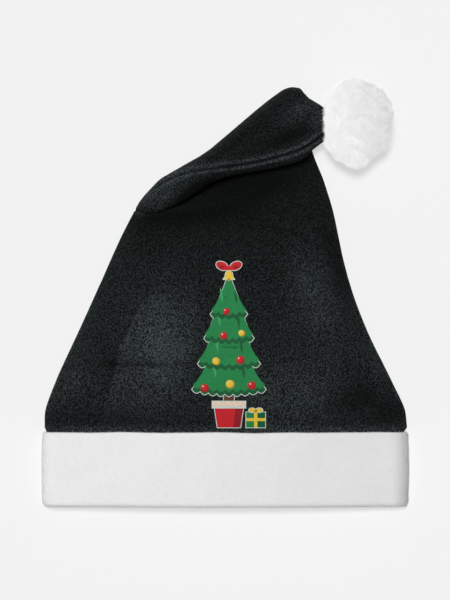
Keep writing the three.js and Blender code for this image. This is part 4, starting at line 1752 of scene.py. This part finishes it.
@dataclass
class TransferPrint:
    """A printed fir tree on the crown's front, a thin film that follows the cloth, in millimetres."""

    hat: HatFrame
    crown: Piece
    middle: Place = (2.8, -36.5)
    height: float = 138.0
    width: float = 62.0
    line: float = 0.55
    longest_mitre: float = 2.2
    round_steps: int = 28
    lift: float = 0.12
    spacing: float = 2.6
    grid_shift: Place = (0.13, 0.17)
    merged: float = 1e-4
    ray_start: float = 80.0
    shapes: list[tuple[Ink, Array]] = field(default_factory=list)

    # top, bottom, half widths below and above, branch ends and sag of each tier
    tiers: tuple[Tier, ...] = (
        Tier(62, 30, 29, 12, 9, 3.5),
        Tier(82, 50, 24.5, 9.5, 8, 3.2),
        Tier(101, 70, 19.5, 7, 7, 2.8),
        Tier(118, 89, 14.5, 1.2, 5, 2.2),
    )
    # how far the shaded branch ends rise and the lit branches draw in
    shade_rise: float = 5.0
    shade_inset: float = 3.0
    lit_rise: float = 3.4
    lit_inset: float = 0.8
    # ink, place, rise and height of the strokes on each tier
    strokes: tuple[tuple[Ink, float, float, float], ...] = (
        (Ink.LEAF_LIGHT, -0.36, 9, 0.42), (Ink.LEAF_SHADE, 0.42, 8, 0.38),
    )
    # place, radius and ink of each bauble
    baubles: tuple[tuple[float, float, float, Ink], ...] = (
        (-19, 31, 3.3, Ink.RED), (1, 34, 3.5, Ink.GOLD), (18, 33, 3.2, Ink.RED),
        (-10, 52, 3.1, Ink.GOLD), (9, 53, 3.3, Ink.RED), (-4, 72, 3.0, Ink.RED),
        (10, 74, 2.6, Ink.GOLD), (-2, 91, 2.7, Ink.RED),
    )
    # shift and size of a bauble's shade, ball and glint, as shares of its radius
    bauble_discs: tuple[Place, ...] = ((0.0, 1.0), (0.14, 0.84), (0.4, 0.2))
    # right half of the bell, from its lip up
    bell_side: tuple[Place, ...] = ((4.2, -2.6), (3.0, -0.6), (2.5, 2.2), (1.2, 3.9))

    def add(self, ink: Ink, points: Array, outlined: bool = False) -> None:
        """Put a shape on top of what is there.

        Args:
            ink: Its ink.
            points: Its outline, from the print's bottom middle.
            outlined: Whether a thin pale line runs round it.
        """
        if outlined:
            self.shapes.append((Ink.PALE, self.widened(points)))
        self.shapes.append((ink, points))

    def widened(self, points: Array) -> Array:
        """An outline moved out by the width of the pale line.

        Args:
            points: The outline, anticlockwise.

        Returns:
            The wider outline.
        """
        ahead = np.roll(points, -1, axis=0) - points
        behind = points - np.roll(points, 1, axis=0)
        out = [np.stack([step[:, 1], -step[:, 0]], axis=1) for step in (ahead, behind)]
        lengths = [np.linalg.norm(side, axis=1, keepdims=True) for side in out]
        total = sum(side / np.maximum(length, TINY) for side, length in zip(out, lengths))
        size = np.linalg.norm(total, axis=1, keepdims=True)
        mitre = np.minimum(2 / np.maximum(size, TINY), self.longest_mitre)
        return points + self.line * total / np.maximum(size, TINY) * mitre

    def disc(self, x: float, y: float, radius: float, squash: float = 1.0) -> Array:
        """Outline of a disc, squashed in height."""
        turn = np.linspace(0, math.tau, self.round_steps, endpoint=False)
        return np.stack([x + radius * np.cos(turn), y + squash * radius * np.sin(turn)], axis=1)

    @staticmethod
    def block(x: float, y: float, width: float, height: float) -> Array:
        """Outline of a rectangle that stands on (x, y)."""
        half = width / 2
        return np.array([[x - half, y], [x + half, y], [x + half, y + height], [x - half, y + height]])

    def design(self) -> None:
        """Lay out the tree, its ornaments and the parcel beside its tub."""
        self.add(Ink.BROWN, self.block(0, 17, 8, 16), True)
        for tier in self.tiers:
            self.add(Ink.LEAF, tier.outline(), True)
        for tier in self.tiers:
            low, half = tier.bottom, tier.half
            shaded = replace(tier, top=low + self.shade_rise, waist=half - self.shade_inset)
            lit = replace(tier, bottom=low + self.lit_rise, half=half - self.lit_inset)
            self.add(Ink.LEAF_SHADE, shaded.outline())
            self.add(Ink.LEAF, lit.outline())
            for ink, *stroke in self.strokes:
                self.add(ink, tier.streak(*stroke))
        self.tub()
        for x, y, radius, ink in self.baubles:
            self.bauble(x, y, radius, ink)
        self.bow(0, 119)
        self.parcel(21, 0)

    def bauble(self, x: float, y: float, radius: float, ink: Ink) -> None:
        """A round ornament with a shaded side and a glint.

        Args:
            x: Its place across the print.
            y: Its place up the print.
            radius: Its radius.
            ink: Its ink.
        """
        shade = Ink.RED_SHADE if ink is Ink.RED else Ink.GOLD_SHADE
        for layer, (shift, size) in zip((shade, ink, Ink.CREAM), self.bauble_discs):
            self.add(layer, self.disc(x - shift * radius, y + shift * radius, size * radius))

    def tub(self) -> None:
        """The red tub under the tree, with a pale band."""
        self.add(Ink.RED, np.array([[-9.0, 0.0], [9.0, 0.0], [11.5, 17.0], [-11.5, 17.0]]), True)
        self.add(Ink.RED_SHADE, np.array([[3.5, 0.0], [9.0, 0.0], [11.5, 17.0], [5.5, 17.0]]))
        self.add(Ink.CREAM, self.block(0, 15.5, 26, 5.0), True)
        self.add(Ink.PALE, self.block(0, 15.5, 25, 1.3))

    def bow(self, x: float, y: float) -> None:
        """The red bow at the top of the tree, with a small gold bell under it.

        Args:
            x: The bell's place across the print.
            y: Its place up the print.
        """
        for side in (-1, 1):
            loop = self.disc(x + side * 5.4, y + 6.5, 4.6, 0.72)
            loop[:, 1] += side * 0.25 * (loop[:, 0] - x)
            hollow = self.disc(x + side * 5.6, y + 6.9, 2.2, 1.2 / 2.2)
            self.add(Ink.RED, loop, True)
            self.add(Ink.RED_SHADE, hollow)
        self.add(Ink.RED, self.disc(x, y + 5.6, 2.4))
        right = np.array(self.bell_side)
        left = right[::-1] * (-1.0, 1.0)
        self.add(Ink.GOLD, np.concatenate([right, left]) + np.array([x, y]), True)
        self.add(Ink.GOLD_SHADE, right + np.array([x, y]))
        self.add(Ink.GOLD_SHADE, self.disc(x, y - 2.9, 1.2))

    def parcel(self, x: float, y: float) -> None:
        """The wrapped parcel beside the tub.

        Args:
            x: Its place across the print.
            y: Its place up the print.
        """
        self.add(Ink.LEAF, self.block(x, y, 15, 12), True)
        self.add(Ink.LEAF_SHADE, self.block(x + 4.5, y, 6, 12))
        self.add(Ink.GOLD, self.block(x, y, 2.6, 12))
        self.add(Ink.GOLD, self.block(x, y + 5, 15, 2.4))
        for side in (-1, 1):
            self.add(Ink.GOLD, self.disc(x + side * 2.8, y + 13.6, 2.6, 0.62), True)
        self.add(Ink.GOLD_SHADE, self.disc(x, y + 13.0, 1.3))

    def build(self) -> Piece:
        """Cut the shapes into one film and lay it on the cloth.

        Returns:
            The film.
        """
        self.design()
        corners, outlines = [], []
        for _, points in self.shapes:
            outlines.append(list(range(len(corners), len(corners) + len(points))))
            corners.extend(points.tolist())
        grid_x = np.arange(-self.width / 2, self.width / 2, self.spacing) + self.grid_shift[0]
        grid_y = np.arange(0, self.height, self.spacing) + self.grid_shift[1]
        corners.extend([x, y] for x in grid_x.tolist() for y in grid_y.tolist())
        corners = [Vector(corner) for corner in corners]
        places, _, faces, *_ = delaunay_2d_cdt(corners, [], outlines, 1, self.merged)
        flat = np.array([[place.x, place.y] for place in places])
        tops = self.topmost(flat[np.array(faces)].mean(axis=1))
        kept = np.flatnonzero(tops >= 0)
        flat += np.array(self.middle) - np.array([0, self.height / 2]) - np.array(self.hat.origin)
        film = new_piece("transfer_print", self.hat.placed(self.draped(flat)), [faces[i] for i in kept])
        inks = list(Ink)
        for ink in inks:
            film.data.materials.append(InkFinish(ink).material())
        used = [inks.index(self.shapes[tops[i]][0]) for i in kept]
        film.data.polygons.foreach_set("material_index", used)
        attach(film, "root")
        return film

    def topmost(self, places: Array) -> Array:
        """Which shape shows at each place.

        Args:
            places: Places on the print.

        Returns:
            The number of the last shape that holds each place, or -1.
        """
        tops = np.full(len(places), -1)
        x, y = places.T
        for number, (_, outline) in enumerate(self.shapes):
            inside = np.zeros(len(places), dtype=bool)
            for (x0, y0), (x1, y1) in zip(outline, np.roll(outline, -1, axis=0)):
                if y0 != y1:
                    crossing = x0 + (y - y0) * (x1 - x0) / (y1 - y0)
                    inside ^= ((y0 > y) != (y1 > y)) & (x < crossing)
            tops[inside] = number
        return tops

    def draped(self, flat: Array) -> Array:
        """Points of the film on the cloth under them.

        Args:
            flat: Places in the plan.

        Returns:
            The points, a little above the cloth.
        """
        tree = BVHTree.FromObject(self.crown, bpy.context.evaluated_depsgraph_get())
        points = np.column_stack([flat, np.full(len(flat), self.ray_start)])
        for i, start in enumerate(self.hat.placed(points)):
            hit, normal, _, _ = tree.ray_cast(Vector(start), Vector(-UP))
            if hit is not None:
                points[i] = self.hat.unplaced(np.array(hit)) + self.lift * np.array(normal)
        return points


@dataclass(frozen=True)
class Softbox:
    """A square soft light that looks at the hat: its place and width in metres, its power in watts."""

    name: str
    place: Point
    width: float
    power: float

    def hang(self) -> Piece:
        """Hang the light.

        Returns:
            The lamp.
        """
        light = bpy.data.lights.new(self.name, "AREA")
        light.size, light.energy = self.width, self.power
        return hang_light(light, self.place)


def hang_light(light: bpy.types.Light, place: Point) -> Piece:
    """Put a light into the scene, looking at the hat's middle.

    Args:
        light: The light.
        place: Where it hangs, in metres.

    Returns:
        The lamp.
    """
    lamp = bpy.data.objects.new(light.name, light)
    lamp.location = place
    lamp.rotation_euler = (-Vector(place)).to_track_quat("-Z", "Y").to_euler()
    bpy.context.scene.collection.objects.link(lamp)
    return lamp


@dataclass
class Studio:
    """Pale floor, soft lights and the camera straight above the hat."""

    # the camera's view, place and distance, in millimetres
    view_height: float = 474.5
    distance: float = 2600.0
    focus_plane: float = 9.0
    centre: Place = (-0.28, -5.44)

    # the floor and the lights, in metres
    clip_end: float = 20.0
    ambient: float = 0.11
    backdrop: float = 0.887
    floor_half: float = 3.0
    floor_gap: float = 0.0002
    cloth_key: Softbox = Softbox("cloth_key", (-0.3, 0.55, 1.5), 0.7, 24.0)
    band_box: Softbox = Softbox("band_softbox", (-0.6, 0.25, 2.1), 2.4, 50.5)
    ball_box: Softbox = Softbox("ball_softbox", (-0.3, 0.0, 2.1), 2.4, 57.0)
    side_box: Softbox = Softbox("side", (1.6, 0.0, 0.4), 1.4, 11.0)
    side_count: int = 4
    sun_place: Point = (-0.04, 0.2, 1.0)
    sun_strength: float = 2.5
    sun_degrees: float = 12.0
    finish: FloorFinish = field(default_factory=FloorFinish)

    def build(self) -> None:
        """Set up the stage."""
        self.backdrop_light()
        self.drop_light(self.floor())
        self.camera()
        bpy.context.scene.view_settings.view_transform = "Standard"

    def floor(self) -> Piece:
        """Lay the floor just under the hat.

        Returns:
            The floor.
        """
        half = self.floor_half
        points = [(-half, -half), (half, -half), (half, half), (-half, half)]
        points = np.array([(x, y, -self.floor_gap) for x, y in points])
        floor = new_piece("floor", points, [[0, 1, 2, 3]], smooth=False)
        floor.data.materials.append(self.finish.material())
        return floor

    @staticmethod
    def group(name: str, pieces: Iterable[Piece]) -> bpy.types.Collection:
        """Put pieces into a named group.

        Args:
            name: The group's name.
            pieces: The pieces.

        Returns:
            The group.
        """
        group = bpy.data.collections.new(name)
        for piece in pieces:
            group.objects.link(piece)
        return group

    def light_only(
        self, lamp: Piece, lit: Iterable[Piece], shading: Iterable[Piece] | None = None
    ) -> None:
        """Let a lamp light some pieces only.

        Args:
            lamp: The lamp.
            lit: The pieces that it lights.
            shading: The pieces that cast a shadow in its light, all by default.
        """
        linking = lamp.light_linking
        linking.receiver_collection = self.group(f"lit_by_{lamp.name}", lit)
        if shading is not None:
            linking.blocker_collection = self.group(f"shades_{lamp.name}", shading)

    def light_cloth(self, *pieces: Piece) -> None:
        """Light the dark pieces from above, a little from the tip's side."""
        self.light_only(self.cloth_key.hang(), pieces, pieces)

    def brighten(self, cuff: Piece, pompom: Piece) -> None:
        """Light the white pieces from wide softboxes, and the pompom from all sides too.

        Args:
            cuff: The cuff, with its pile.
            pompom: The pompom, with its pile.
        """
        band, ball = [cuff, *cuff.children], [pompom, *pompom.children]
        self.light_only(self.band_box.hang(), band)
        self.light_only(self.ball_box.hang(), ball)
        radius, _, height = self.side_box.place
        for turn in range(self.side_count):
            angle = math.tau * (turn + 0.5) / self.side_count
            place = (radius * math.cos(angle), radius * math.sin(angle), height)
            side = replace(self.side_box, name=f"side_{turn}", place=place)
            self.light_only(side.hang(), ball)

    def backdrop_light(self) -> None:
        """Even light all round, with a paler backdrop for the camera."""
        world = bpy.data.worlds.new("studio")
        world.use_nodes = True
        tree = world.node_tree
        paths = tree.nodes.new("ShaderNodeLightPath")
        strength = tree.nodes.new("ShaderNodeMapRange")
        strength.inputs["To Min"].default_value = self.ambient
        strength.inputs["To Max"].default_value = self.backdrop
        tree.links.new(paths.outputs["Is Camera Ray"], strength.inputs["Value"])
        background = tree.nodes["Background"]
        background.inputs["Color"].default_value = WHITE
        tree.links.new(strength.outputs["Result"], background.inputs["Strength"])
        bpy.context.scene.world = world

    def drop_light(self, floor: Piece) -> None:
        """Add the sun that lights the floor only, for the hat's soft shadow on it.

        Args:
            floor: The floor.
        """
        sun = bpy.data.lights.new("drop_light", "SUN")
        sun.energy = self.sun_strength
        sun.angle = math.radians(self.sun_degrees)
        self.light_only(hang_light(sun, self.sun_place), [floor])

    def camera(self) -> None:
        """Hang the camera, with a long lens so that heights hardly shift."""
        data = bpy.data.cameras.new("camera")
        data.sensor_fit = "VERTICAL"
        data.lens = data.sensor_height * self.distance / self.view_height
        data.clip_end = self.clip_end
        camera = bpy.data.objects.new("camera", data)
        camera.location = Vector((*self.centre, self.distance + self.focus_plane)) * MM
        bpy.context.scene.collection.objects.link(camera)
        bpy.context.scene.camera = camera


def main() -> None:
    """Build the hat and its studio, and report each piece."""
    logging.basicConfig(level=logging.INFO, format="%(message)s")
    hat = HatFrame.from_packed()
    studio = Studio()
    studio.build()
    shape = CrownShape(hat)
    crown = Crown(shape).build()
    cuff = Cuff(shape).build()
    pompom = Pompom(hat).build()
    film = TransferPrint(hat, crown).build()
    Crown.declare(crown, film)
    studio.light_cloth(crown, film)
    studio.brighten(cuff, pompom)
    for piece in (crown, film, cuff, *cuff.children, pompom, *pompom.children):
        LOG.info("%s: %d points", piece.name, len(piece.data.vertices))


if __name__ == "__main__":
    main()
